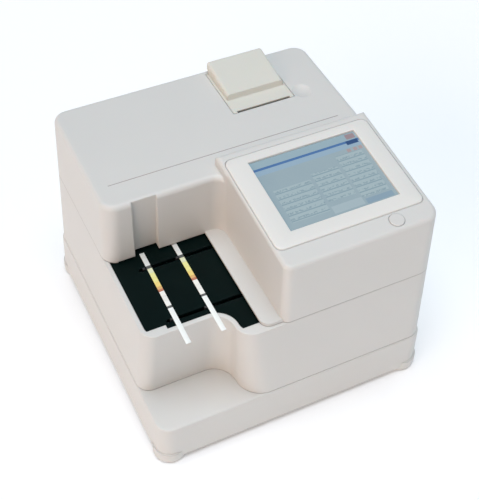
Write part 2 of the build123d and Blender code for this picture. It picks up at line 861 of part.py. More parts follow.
with BuildPart() as chassis_screws:
    with BuildSketch(Plane.XY.offset(chassis_height - chassis_screw_length)):
        with GridLocations(2 * boss_x, 2 * boss_y, 2, 2):
            Circle(chassis_screw_radius)
    extrude(amount=chassis_screw_length + chassis_thickness)
    with BuildSketch(Plane.XY.offset(chassis_top)):
        with GridLocations(2 * boss_x, 2 * boss_y, 2, 2):
            Circle(2 * chassis_screw_radius)
    extrude(amount=chassis_screw_radius)
save(chassis_screws, "chassis_screws")

with BuildPart() as housing_screws:
    with BuildSketch(Plane.XY.offset(screw_seat - screw_radius)):
        with Locations(*column_spots):
            Circle(screw_head)
    extrude(amount=screw_radius)
    with BuildSketch(Plane.XY.offset(screw_seat)):
        with Locations(*column_spots):
            Circle(screw_radius)
    extrude(amount=base_top + column_height / 2 - screw_seat)
save(housing_screws, "housing_screws")

board_top = board_height + board_thickness
with BuildPart() as main_board:
    with BuildSketch(Plane.XY.offset(board_height)):
        with Locations((board_x, board_y)):
            Rectangle(board_width, board_depth)
    extrude(amount=board_thickness)
    # chips, connectors along the rear edge, and capacitors
    with BuildSketch(Plane.XY.offset(board_top)):
        with Locations((board_x, board_y)):
            with GridLocations(3 * chip_size / 2, 3 * chip_size / 2, chip_columns, chip_rows):
                Rectangle(chip_size, chip_size)
    extrude(amount=board_thickness)
    with BuildSketch(Plane.XY.offset(board_top)):
        with Locations((board_x, board_y + board_depth / 2 - chip_size / 2)):
            with GridLocations(3 * chip_size / 2, 0, socket_count, 1):
                Rectangle(chip_size, chip_size / 3)
    extrude(amount=chip_size / 2)
    with BuildSketch(Plane.XY.offset(board_top)):
        with Locations((board_x, board_y - board_depth / 2 + chip_size)):
            with GridLocations(chip_size, 0, socket_count, 1):
                Circle(chip_size / 4)
    extrude(amount=chip_size)
save(main_board, "main_board")

with BuildPart() as power_supply:
    with BuildSketch(Plane.XY.offset(floor)):
        with Locations((supply_x, supply_y)):
            Rectangle(supply_width, supply_depth)
    extrude(amount=supply_height)
    fillet(power_supply.edges().filter_by(Axis.X).group_by(Axis.Z)[-1], sheet)
    with BuildSketch(Plane.XY.offset(floor + supply_height - sheet)):
        with Locations((supply_x, supply_y)):
            with GridLocations(vent_pitch, 0, vent_count, 1):
                SlotOverall(supply_depth - vent_pitch * 2, vent_width, rotation=90)
    extrude(amount=sheet, mode=Mode.SUBTRACT)
save(power_supply, "power_supply")

# ---------------------------------------------------------------- strip transport
frame_x = (frame_left + frame_right) / 2
frame_length = frame_right - frame_left
leg_x = frame_length / 2 - leg_width


def side_rail(y):
    """One long side of the frame with its two legs and lightening holes."""
    with BuildPart() as side:
        with BuildSketch(Plane.XZ.offset(-y)):
            with Locations((frame_x, (frame_low + side_high) / 2)):
                Rectangle(frame_length, side_high - frame_low)
            with Locations((frame_x, (chassis_top + frame_low) / 2)):
                with GridLocations(2 * leg_x, 0, 2, 1):
                    Rectangle(leg_width, frame_low - chassis_top)
            with Locations((motor_x, pulley_height), (idler_x, pulley_height)):
                Circle(shaft_radius + running_clearance, mode=Mode.SUBTRACT)
            with Locations((frame_x, pulley_height)):
                with GridLocations(3 * leg_width, 0, 3, 1):
                    SlotOverall(2 * leg_width, leg_width / 2, mode=Mode.SUBTRACT)
        extrude(amount=-sheet)
    return side.part


def end_plate(x, top):
    """A cross plate that joins the side rails and holds the guide rods."""
    with BuildPart() as end:
        with BuildSketch(Plane.YZ.offset(x)):
            with Locations(((frame_front + frame_rear) / 2, (frame_low + top) / 2)):
                Rectangle(frame_rear - frame_front, top - frame_low)
            with Locations((rod_front_y, rod_height), (rod_rear_y, rod_height)):
                Circle(rod_radius + running_clearance, mode=Mode.SUBTRACT)
        extrude(amount=sheet)
    return end.part


with BuildPart() as transport_frame:
    add(side_rail(frame_front))
    add(side_rail(frame_rear - sheet))
    add(end_plate(frame_left, end_high))
    add(end_plate(frame_right - sheet, table_low))
save(transport_frame, "transport_frame")

with BuildPart() as guide_rods:
    add(bar_x((frame_left, frame_right), rod_front_y, rod_height, rod_radius))
    add(bar_x((frame_left, frame_right), rod_rear_y, rod_height, rod_radius))
save(guide_rods, "guide_rods")

blade_right = strip_first_x - strip_width / 2 - blade_gap
carriage_left = blade_right - blade_width - carriage_margin
carriage_right = blade_right + strip_pitch + carriage_margin
carriage_x = (carriage_left + carriage_right) / 2
blade_depth = slot_width - 2 * blade_side_gap
carriage_front = slot_front_y - blade_depth / 2
carriage_rear = slot_rear_y + blade_depth / 2
carriage_y = (carriage_front + carriage_rear) / 2
belt_low = pulley_height - pulley_radius - belt_gap - belt_thickness
belt_top = pulley_height + pulley_radius + belt_gap + belt_thickness

with BuildPart() as transport_carriage:
    with BuildSketch(Plane.XY.offset(carriage_low)):
        with Locations((carriage_x, carriage_y)):
            Rectangle(carriage_right - carriage_left, carriage_rear - carriage_front)
            with GridLocations(0, rod_rear_y - rod_front_y, 1, 3):
                RectangleRounded(
                    strip_pitch - carriage_margin, rod_rear_y - rod_front_y - 4 * rod_radius,
                    window_corner, mode=Mode.SUBTRACT,
                )
    extrude(amount=carriage_high - carriage_low)
    # pusher blades that rise through the slots behind each strip
    with BuildSketch(Plane.XY.offset(carriage_low)):
        with Locations((blade_right - blade_width / 2 + strip_pitch / 2, carriage_y)):
            with GridLocations(strip_pitch, slot_rear_y - slot_front_y, 2, 2):
                Rectangle(blade_width, blade_depth)
    extrude(amount=table_top + blade_above_table - carriage_low)
    # clamp that reaches down to the belt
    with BuildSketch(Plane.XY.offset(belt_top + belt_gap)):
        with Locations((carriage_left + carriage_margin / 2, belt_y)):
            Rectangle(carriage_margin, belt_width - 2 * belt_gap)
    extrude(amount=carriage_high - belt_top - belt_gap)
    with BuildSketch(Plane.YZ.offset(carriage_left)):
        with Locations((rod_front_y, rod_height), (rod_rear_y, rod_height)):
            Circle(rod_radius + running_clearance)
    extrude(amount=carriage_right - carriage_left, mode=Mode.SUBTRACT)
save(transport_carriage, "transport_carriage")

with BuildPart() as transport_belt:
    with BuildSketch(Plane.XZ.offset(-belt_y + belt_width / 2)):
        with Locations(((motor_x + idler_x) / 2, pulley_height)):
            SlotCenterToCenter(motor_x - idler_x, belt_top - belt_low)
            SlotCenterToCenter(
                motor_x - idler_x, belt_top - belt_low - 2 * belt_thickness, mode=Mode.SUBTRACT
            )
    extrude(amount=-belt_width)
save(transport_belt, "transport_belt")


def belt_pulley(x, bore):
    """A flanged belt pulley on an axis along Y."""
    near = belt_y - belt_width / 2 - belt_gap
    far = belt_y + belt_width / 2 + belt_gap
    with BuildPart() as pulley:
        add(bar_y(x, (near, far), pulley_height, pulley_radius))
        add(bar_y(x, (near - flange_thickness, near), pulley_height, pulley_flange))
        add(bar_y(x, (far, far + flange_thickness), pulley_height, pulley_flange))
        add(bar_y(x, (near - depth, far + depth), pulley_height, bore), mode=Mode.SUBTRACT)
    return pulley.part


with BuildPart() as motor_pulley:
    add(belt_pulley(motor_x, shaft_radius))
save(motor_pulley, "motor_pulley")

with BuildPart() as idler_pulley:
    add(belt_pulley(idler_x, shaft_radius + running_clearance))
save(idler_pulley, "idler_pulley")

with BuildPart() as idler_shaft:
    add(bar_y(idler_x, (frame_front, frame_rear), pulley_height, shaft_radius))
save(idler_shaft, "idler_shaft")

with BuildPart() as motor_shaft:
    add(bar_y(motor_x, (frame_front, frame_rear + motor_length / 2), pulley_height, shaft_radius))
save(motor_shaft, "motor_shaft")


def stepper(size, length, bore, bore_depth):
    """A square stepper motor on Plane.XY, shaft bore at the top."""
    with BuildPart() as motor:
        with BuildSketch():
            Rectangle(size, size)
        extrude(amount=length)
        chamfer(motor.edges().filter_by(Axis.Z), size / 8)
        with BuildSketch(Plane.XY.offset(length - bore_depth)):
            Circle(bore)
        extrude(amount=bore_depth, mode=Mode.SUBTRACT)
    return motor.part


motor_plane = Plane(
    origin=(motor_x, frame_rear + motor_length, pulley_height), x_dir=(1, 0, 0), z_dir=(0, -1, 0)
)
motor_bore = motor_length / 2 + motor_bore_spare
motor_solid = stepper(motor_size, motor_length, shaft_radius + running_clearance, motor_bore)
with BuildPart() as transport_motor:
    add(motor_plane * motor_solid)
save(transport_motor, "transport_motor")

# ---------------------------------------------------------------- reading head
with BuildPart() as head_frame:
    for plate_y in (gantry_front, gantry_rear):
        with BuildSketch(Plane.XZ.offset(-plate_y)):
            with Locations((gantry_x, (chassis_top + gantry_high) / 2)):
                Rectangle(gantry_width, gantry_high - chassis_top)
            with Locations((gantry_x, (chassis_top + table_low) / 2)):
                RectangleRounded(
                    gantry_width - 2 * leg_width, table_low - chassis_top - 2 * leg_width,
                    window_corner, mode=Mode.SUBTRACT,
                )
            with Locations((head_rod_x, head_axis_height)):
                Circle(rod_radius + running_clearance, mode=Mode.SUBTRACT)
            with Locations((head_screw_x, head_axis_height)):
                Circle(shaft_radius + running_clearance, mode=Mode.SUBTRACT)
        extrude(amount=-sheet)
    with BuildSketch(Plane.XY.offset(gantry_high - sheet)):
        with Locations((gantry_x, (gantry_front + gantry_rear + sheet) / 2)):
            Rectangle(gantry_width, gantry_rear - gantry_front + sheet)
            Rectangle(
                gantry_width - 2 * leg_width, gantry_rear - gantry_front - 2 * leg_width,
                mode=Mode.SUBTRACT,
            )
    extrude(amount=sheet)
save(head_frame, "head_frame")

with BuildPart() as head_rod:
    add(bar_y(head_rod_x, (gantry_front, gantry_rear + sheet), head_axis_height, rod_radius))
save(head_rod, "head_rod")

with BuildPart() as head_screw:
    add(bar_y(head_screw_x, (gantry_front + sheet, gantry_rear), head_axis_height, rod_radius))
    screw_ends = (gantry_front, gantry_rear + sheet + shaft_radius)
    add(bar_y(head_screw_x, screw_ends, head_axis_height, shaft_radius))
save(head_screw, "head_screw")

with BuildPart() as read_head:
    with BuildSketch(Plane.XY.offset(head_low)):
        with Locations((gantry_x, head_y)):
            RectangleRounded(head_width, head_length, window_corner)
    extrude(amount=head_high - head_low)
    chamfer(read_head.faces().sort_by(Axis.Z)[-1].edges(), sheet)
    with Locations((gantry_x, head_y, head_low)):
        Cylinder(lens_radius, 2 * lens_thickness, mode=Mode.SUBTRACT)
    with BuildSketch(Plane.XZ.offset(-head_rear)):
        with Locations((head_rod_x, head_axis_height), (head_screw_x, head_axis_height)):
            Circle(rod_radius + running_clearance)
    extrude(amount=head_length, mode=Mode.SUBTRACT)
save(read_head, "read_head")

with BuildPart() as head_lens:
    with Locations((gantry_x, head_y, head_low + lens_thickness / 2)):
        Cylinder(lens_radius, lens_thickness)
save(head_lens, "head_lens")

head_motor_plane = Plane(
    origin=(head_screw_x, gantry_rear + sheet + head_motor_length, head_axis_height),
    x_dir=(1, 0, 0), z_dir=(0, -1, 0),
)
head_motor_solid = stepper(head_motor_size, head_motor_length, shaft_radius + running_clearance, wall)
with BuildPart() as head_motor:
    add(head_motor_plane * head_motor_solid)
save(head_motor, "head_motor")

# ---------------------------------------------------------------- waste drawer
drawer_front_low = drawer_window_low + drawer_gap
drawer_front_high = drawer_window_high - drawer_gap
front_half = drawer_span / 2 + drawer_window_margin - drawer_gap
with BuildPart() as drawer_front:
    add(lofted(middle_outline, base_top, seam_height, tier_step))
    with BuildSketch(Plane.YZ.offset(drawer_inner)):
        with Locations((drawer_y, (drawer_front_low + drawer_front_high) / 2)):
            RectangleRounded(2 * front_half, drawer_front_high - drawer_front_low, window_corner)
        with Locations((drawer_y, drawer_front_high)):
            SlotOverall(notch_width, 2 * notch_depth, mode=Mode.SUBTRACT)
    extrude(amount=width - drawer_inner, mode=Mode.INTERSECT)
save(drawer_front, "drawer_front")

with BuildPart() as waste_bin:
    with BuildSketch(Plane.XY.offset(drawer_low)):
        with Locations(((drawer_left + drawer_inner) / 2, drawer_y)):
            RectangleRounded(drawer_inner - drawer_left, drawer_span, window_corner)
    extrude(amount=drawer_high - drawer_low)
    offset(amount=-bin_wall, openings=waste_bin.faces().sort_by(Axis.Z)[-1])
save(waste_bin, "waste_bin")

with BuildPart() as drawer_runners:
    for side in (-1, 1):
        outer = drawer_y + side * (drawer_span / 2 + runner_inset)
        inner = outer - side * (runner_inset + runner_width)
        with BuildSketch(Plane.YZ.offset(drawer_left)):
            with BuildLine():
                Polyline(
                    (outer, chassis_top),
                    (outer, drawer_low + 2 * runner_width),
                    (drawer_y + side * (drawer_span / 2 + slide_gap), drawer_low + 2 * runner_width),
                    (drawer_y + side * (drawer_span / 2 + slide_gap), drawer_low - slide_gap),
                    (inner, drawer_low - slide_gap),
                    (inner, chassis_top),
                    close=True,
                )
            make_face()
        extrude(amount=chassis_x - drawer_left)
save(drawer_runners, "drawer_runners")

# ---------------------------------------------------------------- screen
with BuildPart() as screen_bezel:
    with BuildSketch(screen_plane(bezel_x, bezel_y, bezel_seat)):
        RectangleRounded(bezel_width, bezel_height, bezel_corner)
    extrude(amount=bezel_thickness)
    fillet(screen_bezel.faces().sort_by(Axis.Z)[-1].edges(), bezel_proud)
    with BuildSketch(screen_plane(lcd_x, lcd_y, bezel_seat)):
        Rectangle(lcd_width, lcd_height)
    extrude(amount=bezel_thickness, mode=Mode.SUBTRACT)
save(screen_bezel, "screen_bezel")

with BuildPart() as touch_panel:
    with BuildSketch(screen_plane(lcd_x, lcd_y, bezel_seat - touch_thickness)):
        Rectangle(touch_width, touch_height)
    extrude(amount=touch_thickness)
save(touch_panel, "touch_panel")

lcd_depth = wall + lcd_thickness
with BuildPart() as lcd_module:
    with BuildSketch(screen_plane(lcd_x, lcd_y, -lcd_depth)):
        Rectangle(lcd_width + 2 * lcd_margin, lcd_height + 2 * lcd_margin)
    extrude(amount=lcd_thickness)
    chamfer(lcd_module.faces().sort_by(Axis.Z)[0].edges(), board_thickness)
save(lcd_module, "lcd_module")

with BuildPart() as display_board:
    with BuildSketch(screen_plane(lcd_x, lcd_y, -lcd_depth - board_thickness)):
        Rectangle(lcd_width, lcd_height)
    extrude(amount=board_thickness)
    with BuildSketch(screen_plane(lcd_x, lcd_y, -lcd_depth - 2 * board_thickness)):
        with GridLocations(2 * chip_size, 2 * chip_size, 2, 2):
            Rectangle(chip_size, chip_size)
    extrude(amount=board_thickness)
save(display_board, "display_board")

# ---------------------------------------------------------------- standby button
flange_top = -wall - slide_gap
stem_end = button_travel + slide_gap - button_board_depth
with BuildPart() as standby_button:
    with BuildSketch(screen_plane(button_x, button_y, flange_top - button_flange)):
        Circle(button_radius + button_flange)
    extrude(amount=button_flange)
    with BuildSketch(screen_plane(button_x, button_y, flange_top)):
        Circle(button_radius)
    extrude(amount=button_proud - flange_top)
    fillet(standby_button.faces().sort_by(Axis.Z)[-1].edges(), button_proud)
    with BuildSketch(screen_plane(button_x, button_y, stem_end)):
        Circle(button_stem)
    extrude(amount=flange_top - button_flange - stem_end)
save(standby_button, "standby_button")

spring_length = button_board_depth + flange_top - button_flange - 2 * spring_wire
spring_plane = screen_plane(button_x, button_y, spring_wire - button_board_depth)
spring_path = spring_plane * Helix(spring_length / spring_turns, spring_length, spring_radius)
with BuildPart() as button_spring:
    with BuildSketch(Plane(origin=spring_path @ 0, z_dir=spring_path % 0)):
        Circle(spring_wire / 2)
    sweep(path=spring_path, is_frenet=True)
save(button_spring, "button_spring")

with BuildPart() as button_board:
    with BuildSketch(screen_plane(button_x, button_y, -button_board_depth - board_thickness)):
        Rectangle(2 * button_post_x + 4 * button_post_radius, 2 * button_radius)
    extrude(amount=board_thickness)
save(button_board, "button_board")

# ---------------------------------------------------------------- printer cover
cover_low = roof_height - cover_thickness
hump_rear = hinge_y + hinge_barrel
cover_rear = opening_rear - cover_gap
front_lip = cover_front + cover_gap
with BuildPart() as printer_cover:
    with BuildSketch(Plane.YZ.offset(hump_left)):
        with BuildLine():
            Polyline(
                (hinge_y, hinge_height - hinge_barrel),
                (cover_rear, hinge_height - hinge_barrel),
                (cover_rear, cover_low),
                (hump_front, cover_low),
                (hump_front + hump_lean, roof_height + hump_front_rise),
                (hump_rear, roof_height + hump_rear_rise),
                (hump_rear, hinge_height),
            )
            quarter(
                (hump_rear, hinge_height), (hinge_y, hinge_height - hinge_barrel),
                (hinge_y, hinge_height),
            )
        make_face()
    extrude(amount=hump_right - hump_left)
    fillet(printer_cover.edges().filter_by(Axis.X).group_by(Axis.Z)[-1], hump_round)
    hump_rim = printer_cover.faces().sort_by(Axis.Z)[-1].edges()
    fillet(hump_rim, hump_round)
    with BuildSketch(Plane.XY.offset(cover_low)):
        with Locations((cover_x, (front_lip + cover_rear) / 2)):
            Rectangle(cover_right - cover_left - 2 * cover_gap, cover_rear - front_lip)
        with Locations((cover_x, front_lip)):
            Rectangle(slot_length, 2 * slot_depth, mode=Mode.SUBTRACT)
    extrude(amount=cover_thickness)
    # hollow of the raised part
    with BuildSketch(Plane.YZ.offset(hump_left + hump_wall)):
        with BuildLine():
            Polyline(
                (hump_front + hump_wall, cover_low - wall),
                (hump_front + hump_wall, cover_low),
                (hump_front + hump_wall + hump_lean, roof_height + hump_front_rise - hump_wall),
                (hump_rear - hump_wall, roof_height + hump_rear_rise - hump_wall),
                (hump_rear - hump_wall, cover_low - wall),
                close=True,
            )
        make_face()
    extrude(amount=hump_right - hump_left - 2 * hump_wall, mode=Mode.SUBTRACT)
    # hinge knuckles between and outside the ears
    add(bar_x((hump_left + hump_wall, hump_right - hump_wall), hinge_y, hinge_height, hinge_barrel))
    for ear_x in (cover_x - ear_spread, cover_x + ear_spread):
        ear_side = ear_width / 2 + cover_gap
        knuckle = (ear_x - ear_side, ear_x + ear_side)
        add(bar_x(knuckle, hinge_y, hinge_height, hinge_barrel + cover_gap), mode=Mode.SUBTRACT)
    pin_bore = bar_x((hump_left, hump_right), hinge_y, hinge_height, hinge_pin + running_clearance)
    add(pin_bore, mode=Mode.SUBTRACT)
save(printer_cover, "printer_cover")

with BuildPart() as cover_hinge_pin:
    add(bar_x((hump_left + hump_wall, hump_right - hump_wall), hinge_y, hinge_height, hinge_pin))
save(cover_hinge_pin, "cover_hinge_pin")

# ---------------------------------------------------------------- ticket printer
roof_underside = roof_height - wall
frame_plate_left = cover_x - slot_length / 2 - 2 * sheet
frame_plate_right = cover_x + slot_length / 2 + 2 * sheet
bay_front = roll_y - roll_radius - bay_clearance - bay_wall
bay_left = cover_x - roll_width / 2 - bay_clearance - bay_wall
bay_right = cover_x + roll_width / 2 + bay_clearance + bay_wall
gear_distance = gear_module * (platen_teeth + pinion_teeth) / 2
pinion_height = platen_height - gear_distance
gear_x = (frame_plate_right + sheet, frame_plate_right + sheet + gear_width)

with BuildPart() as tear_bar:
    with BuildSketch(Plane.YZ.offset(cover_x - slot_length / 2)):
        with BuildLine():
            Polyline(
                (cover_front, roof_underside),
                (cover_front - 2 * sheet, roof_underside),
                (cover_front - 2 * sheet, roof_underside - sheet),
                (cover_front - sheet / 2, roof_underside - sheet),
                close=True,
            )
        make_face()
    extrude(amount=slot_length)
save(tear_bar, "tear_bar")

with BuildPart() as printer_frame:
    for plate_x in (frame_plate_left, frame_plate_right):
        with BuildSketch(Plane.YZ.offset(plate_x)):
            with Locations((platen_y, (printer_low + roof_underside) / 2)):
                Rectangle(2 * printer_reach, roof_underside - printer_low)
            with Locations((platen_y, platen_height)):
                Circle(platen_shaft + running_clearance, mode=Mode.SUBTRACT)
            with Locations((platen_y, pinion_height)):
                Circle(platen_shaft + running_clearance, mode=Mode.SUBTRACT)
        extrude(amount=sheet)
    with BuildSketch(Plane.XY.offset(printer_low)):
        with Locations(((frame_plate_left + frame_plate_right + sheet) / 2, platen_y)):
            Rectangle(frame_plate_right - frame_plate_left + sheet, 2 * printer_reach)
    extrude(amount=sheet)
save(printer_frame, "printer_frame")

with BuildPart() as platen_axle:
    add(bar_x((frame_plate_left, gear_x[1]), platen_y, platen_height, platen_shaft))
save(platen_axle, "platen_axle")

with BuildPart() as platen_sleeve:
    sleeve = (cover_x - slot_length / 2, cover_x + slot_length / 2)
    add(bar_x(sleeve, platen_y, platen_height, platen_radius, platen_shaft))
save(platen_sleeve, "platen_sleeve")


def gear_part(teeth, turn, bore):
    """A spur gear on Plane.YZ about the origin, first tooth turned from +Y by turn degrees."""
    pitch_radius = gear_module * teeth / 2
    root = pitch_radius - 1.25 * gear_module
    tip = pitch_radius + gear_tip * gear_module
    half_root = gear_module * pi / 4 + gear_module / 4
    half_pitch = gear_module * pi / 4 - gear_backlash / 2
    half_tip = half_pitch - gear_module / 3
    with BuildPart() as gear:
        with BuildSketch(Plane.YZ):
            Circle(root)
            with PolarLocations(0, teeth, start_angle=turn):
                Polygon(
                    (root - gear_module / 4, -half_root),
                    (root + gear_module / 4, -half_root),
                    (pitch_radius, -half_pitch),
                    (tip, -half_tip),
                    (tip, half_tip),
                    (pitch_radius, half_pitch),
                    (root + gear_module / 4, half_root),
                    (root - gear_module / 4, half_root),
                    align=None,
                )
            if bore:
                Circle(bore, mode=Mode.SUBTRACT)
        extrude(amount=gear_width)
    return gear.part


with BuildPart() as platen_gear:
    with Locations((gear_x[0], platen_y, platen_height)):
        add(gear_part(platen_teeth, -90, platen_shaft))
save(platen_gear, "platen_gear")

with BuildPart() as printer_pinion:
    with Locations((gear_x[0], platen_y, pinion_height)):
        add(gear_part(pinion_teeth, 90 + 180 / pinion_teeth, 0))
    add(bar_x((frame_plate_right - wall, gear_x[0]), platen_y, pinion_height, platen_shaft))
save(printer_pinion, "printer_pinion")

printer_motor_plane = Plane(
    origin=(frame_plate_right - printer_motor_length, platen_y, pinion_height),
    x_dir=(0, 1, 0), z_dir=(1, 0, 0),
)
printer_motor_solid = stepper(
    printer_motor_size, printer_motor_length, platen_shaft + running_clearance, wall + running_clearance
)
with BuildPart() as printer_motor:
    add(printer_motor_plane * printer_motor_solid)
save(printer_motor, "printer_motor")

with BuildPart() as print_head:
    with BuildSketch(Plane.YZ.offset(frame_plate_left + sheet)):
        with BuildLine():
            Polyline(
                (platen_y - printer_reach, platen_height - platen_radius),
                (platen_y - printer_reach, platen_height + 2 * platen_shaft),
                (platen_y - platen_radius - slide_gap, platen_height + platen_shaft),
                (platen_y - platen_radius - slide_gap, platen_height - platen_shaft),
                (platen_y - platen_radius - sheet, platen_height - platen_radius),
                close=True,
            )
        make_face()
    extrude(amount=frame_plate_right - frame_plate_left - sheet)
save(print_head, "print_head")


def bay_outline(inset):
    """Side view of the paper bay: a trough that follows the roll and opens upwards."""
    radius = roll_radius + bay_clearance + bay_wall - inset
    with BuildSketch() as outline:
        with BuildLine():
            Line((roll_y - radius, roll_height), (roll_y - radius, roof_underside))
            Line((roll_y - radius, roof_underside), (roll_y + radius, roof_underside))
            Line((roll_y + radius, roof_underside), (roll_y + radius, roll_height))
            quarter((roll_y + radius, roll_height), (roll_y, roll_height - radius), (roll_y, roll_height))
            quarter((roll_y, roll_height - radius), (roll_y - radius, roll_height), (roll_y, roll_height))
        make_face()
    return outline.sketch


with BuildPart() as paper_bay:
    with BuildSketch(Plane.YZ.offset(bay_left)):
        add(bay_outline(0))
    extrude(amount=bay_right - bay_left)
    with BuildSketch(Plane.YZ.offset(bay_left + bay_wall)):
        add(bay_outline(bay_wall))
    extrude(amount=bay_right - bay_left - 2 * bay_wall, mode=Mode.SUBTRACT)
    # the paper leaves over the low front wall
    with BuildSketch(Plane.YZ.offset(bay_left + bay_wall)):
        with Locations((bay_front, roll_height)):
            Rectangle(2 * bay_wall, roof_height - roll_height, align=(Align.CENTER, Align.MIN))
    extrude(amount=bay_right - bay_left - 2 * bay_wall, mode=Mode.SUBTRACT)
    # bearing holes for the roll spindle
    spindle_hole = bar_x((bay_left, bay_right), roll_y, roll_height, spindle_radius + running_clearance)
    add(spindle_hole, mode=Mode.SUBTRACT)
save(paper_bay, "paper_bay")

with BuildPart() as roll_spindle:
    add(bar_x((bay_left, bay_right), roll_y, roll_height, spindle_radius))
save(roll_spindle, "roll_spindle")

roll_ends = (cover_x - roll_width / 2, cover_x + roll_width / 2)
with BuildPart() as roll_core:
    add(bar_x(roll_ends, roll_y, roll_height, core_radius, spindle_radius + running_clearance))
save(roll_core, "roll_core")

with BuildPart() as paper_roll:
    add(bar_x(roll_ends, roll_y, roll_height, roll_radius, core_radius))
save(paper_roll, "paper_roll")

# ---------------------------------------------------------------- rear panel and connectors
panel_back = panel_plane - panel_sheet


with BuildPart() as rear_panel:
    with BuildSketch(Plane.XZ.offset(-panel_back)):
        with Locations((panel_x, panel_z)):
            Rectangle(panel_width + 2 * panel_overlap, panel_height + 2 * panel_overlap)
        with Locations((inlet_x, panel_z)):
            Rectangle(inlet_width + 2 * port_gap, inlet_height + 2 * port_gap, mode=Mode.SUBTRACT)
        with Locations((switch_x, panel_z)):
            Rectangle(switch_width + 2 * port_gap, switch_height + 2 * port_gap, mode=Mode.SUBTRACT)
        with Locations((serial_x, panel_z)):
            Rectangle(serial_width + 2 * port_gap, serial_height + 2 * port_gap, mode=Mode.SUBTRACT)
        with Locations((port_x, panel_z)):
            Rectangle(port_width + 2 * port_gap, port_height + 2 * port_gap, mode=Mode.SUBTRACT)
    extrude(amount=-panel_sheet)
save(rear_panel, "rear_panel")

with BuildPart() as power_inlet:
    with BuildSketch(Plane.XZ.offset(-panel_plane + inlet_depth)):
        with Locations((inlet_x, panel_z)):
            Rectangle(inlet_width, inlet_height)
    extrude(amount=-inlet_depth)
    with BuildSketch(Plane.XZ.offset(-panel_plane)):
        with Locations((inlet_x, panel_z)):
            RectangleRounded(inlet_width + 2 * sheet, inlet_height + 2 * sheet, sheet)
    extrude(amount=-panel_sheet)
    # the socket, with its three blades
    with BuildSketch(Plane.XZ.offset(-panel_plane + inlet_depth - sheet)):
        with Locations((inlet_x, panel_z)):
            RectangleRounded(inlet_width - 2 * sheet, inlet_height - 2 * sheet, sheet)
    extrude(amount=-inlet_depth, mode=Mode.SUBTRACT)
    with BuildSketch(Plane.XZ.offset(-panel_plane + inlet_depth - sheet)):
        with Locations((inlet_x - pin_pitch, panel_z), (inlet_x + pin_pitch, panel_z)):
            Rectangle(sheet, 2 * sheet)
        with Locations((inlet_x, panel_z + 2 * sheet)):
            Rectangle(sheet, 2 * sheet)
    extrude(amount=sheet - inlet_depth)
save(power_inlet, "power_inlet")

# the rocker turns on an axis along X inside its frame
rocker_y = panel_plane - switch_pivot
with BuildPart() as switch_frame:
    with BuildSketch(Plane.XZ.offset(-rocker_y + rocker_radius)):
        with Locations((switch_x, panel_z)):
            Rectangle(switch_width, switch_height)
    extrude(amount=-rocker_radius - switch_pivot)
    with BuildSketch(Plane.XZ.offset(-panel_plane)):
        with Locations((switch_x, panel_z)):
            Rectangle(switch_width + sheet, switch_height + sheet)
    extrude(amount=-panel_sheet)
    rocker_room = rocker_radius + slide_gap
    room_ends = (switch_x - switch_width / 2 + switch_wall, switch_x + switch_width / 2 - switch_wall)
    add(bar_x(room_ends, rocker_y, panel_z, rocker_room), mode=Mode.SUBTRACT)
    with BuildSketch(Plane.XZ.offset(-rocker_y)):
        with Locations((switch_x, panel_z)):
            Rectangle(room_ends[1] - room_ends[0], 2 * rocker_room)
    extrude(amount=-2 * switch_pivot, mode=Mode.SUBTRACT)
    add(bar_x((switch_x - switch_width / 2, switch_x + switch_width / 2), rocker_y, panel_z, hinge_pin))
save(switch_frame, "switch_frame")

with BuildPart() as power_rocker:
    rocker_ends = (room_ends[0] + slide_gap, room_ends[1] - slide_gap)
    add(bar_x(rocker_ends, rocker_y, panel_z, rocker_radius))
    # two flat finger faces that meet in a shallow valley
    with BuildSketch(Plane.YZ.offset(rocker_ends[0])):
        with BuildLine():
            Polyline(
                (rocker_y + rocker_valley, panel_z),
                (rocker_y + rocker_edge, panel_z + rocker_radius),
                (rocker_y + 2 * rocker_radius, panel_z + rocker_radius),
                (rocker_y + 2 * rocker_radius, panel_z - rocker_radius),
                (rocker_y + rocker_edge, panel_z - rocker_radius),
                close=True,
            )
        make_face()
    extrude(amount=rocker_ends[1] - rocker_ends[0], mode=Mode.SUBTRACT)
    # hollow back
    with BuildSketch(Plane.YZ.offset(rocker_ends[0])):
        with Locations((rocker_y - hinge_pin - sheet, panel_z)):
            Rectangle(2 * rocker_radius, 2 * rocker_radius, align=(Align.MAX, Align.CENTER))
    extrude(amount=rocker_ends[1] - rocker_ends[0], mode=Mode.SUBTRACT)
    pin_hole = bar_x(rocker_ends, rocker_y, panel_z, hinge_pin + running_clearance)
    add(pin_hole, mode=Mode.SUBTRACT)
power_rocker.part = power_rocker.part.rotate(Axis((switch_x, rocker_y, panel_z), (1, 0, 0)), -rocker_tilt)
save(power_rocker, "power_rocker")

with BuildPart() as serial_port:
    with BuildSketch(Plane.XZ.offset(-panel_plane + 2 * connector_proud)):
        with Locations((serial_x, panel_z)):
            Rectangle(serial_width, serial_height)
    extrude(amount=-2 * connector_proud)
    with BuildSketch(Plane.XZ.offset(-panel_plane)):
        with Locations((serial_x, panel_z)):
            Trapezoid(serial_shell_width, serial_shell_height, serial_shell_slant, rotation=180)
            Trapezoid(
                serial_shell_width - 2 * serial_shell_wall, serial_shell_height - 2 * serial_shell_wall,
                serial_shell_slant, rotation=180, mode=Mode.SUBTRACT,
            )
    extrude(amount=-connector_proud)
save(serial_port, "serial_port")

with BuildPart() as network_port:
    with BuildSketch(Plane.XZ.offset(-panel_plane + 4 * connector_proud)):
        with Locations((port_x, panel_z)):
            Rectangle(port_width, port_height)
    extrude(amount=-4 * connector_proud - panel_sheet)
    with BuildSketch(Plane.XZ.offset(-panel_plane + 2 * connector_proud)):
        with Locations((port_x, panel_z)):
            Rectangle(port_width - sheet, port_height - sheet)
    extrude(amount=-4 * connector_proud, mode=Mode.SUBTRACT)
save(network_port, "network_port")
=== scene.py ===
from math import atan2, cos, radians, sin, tan

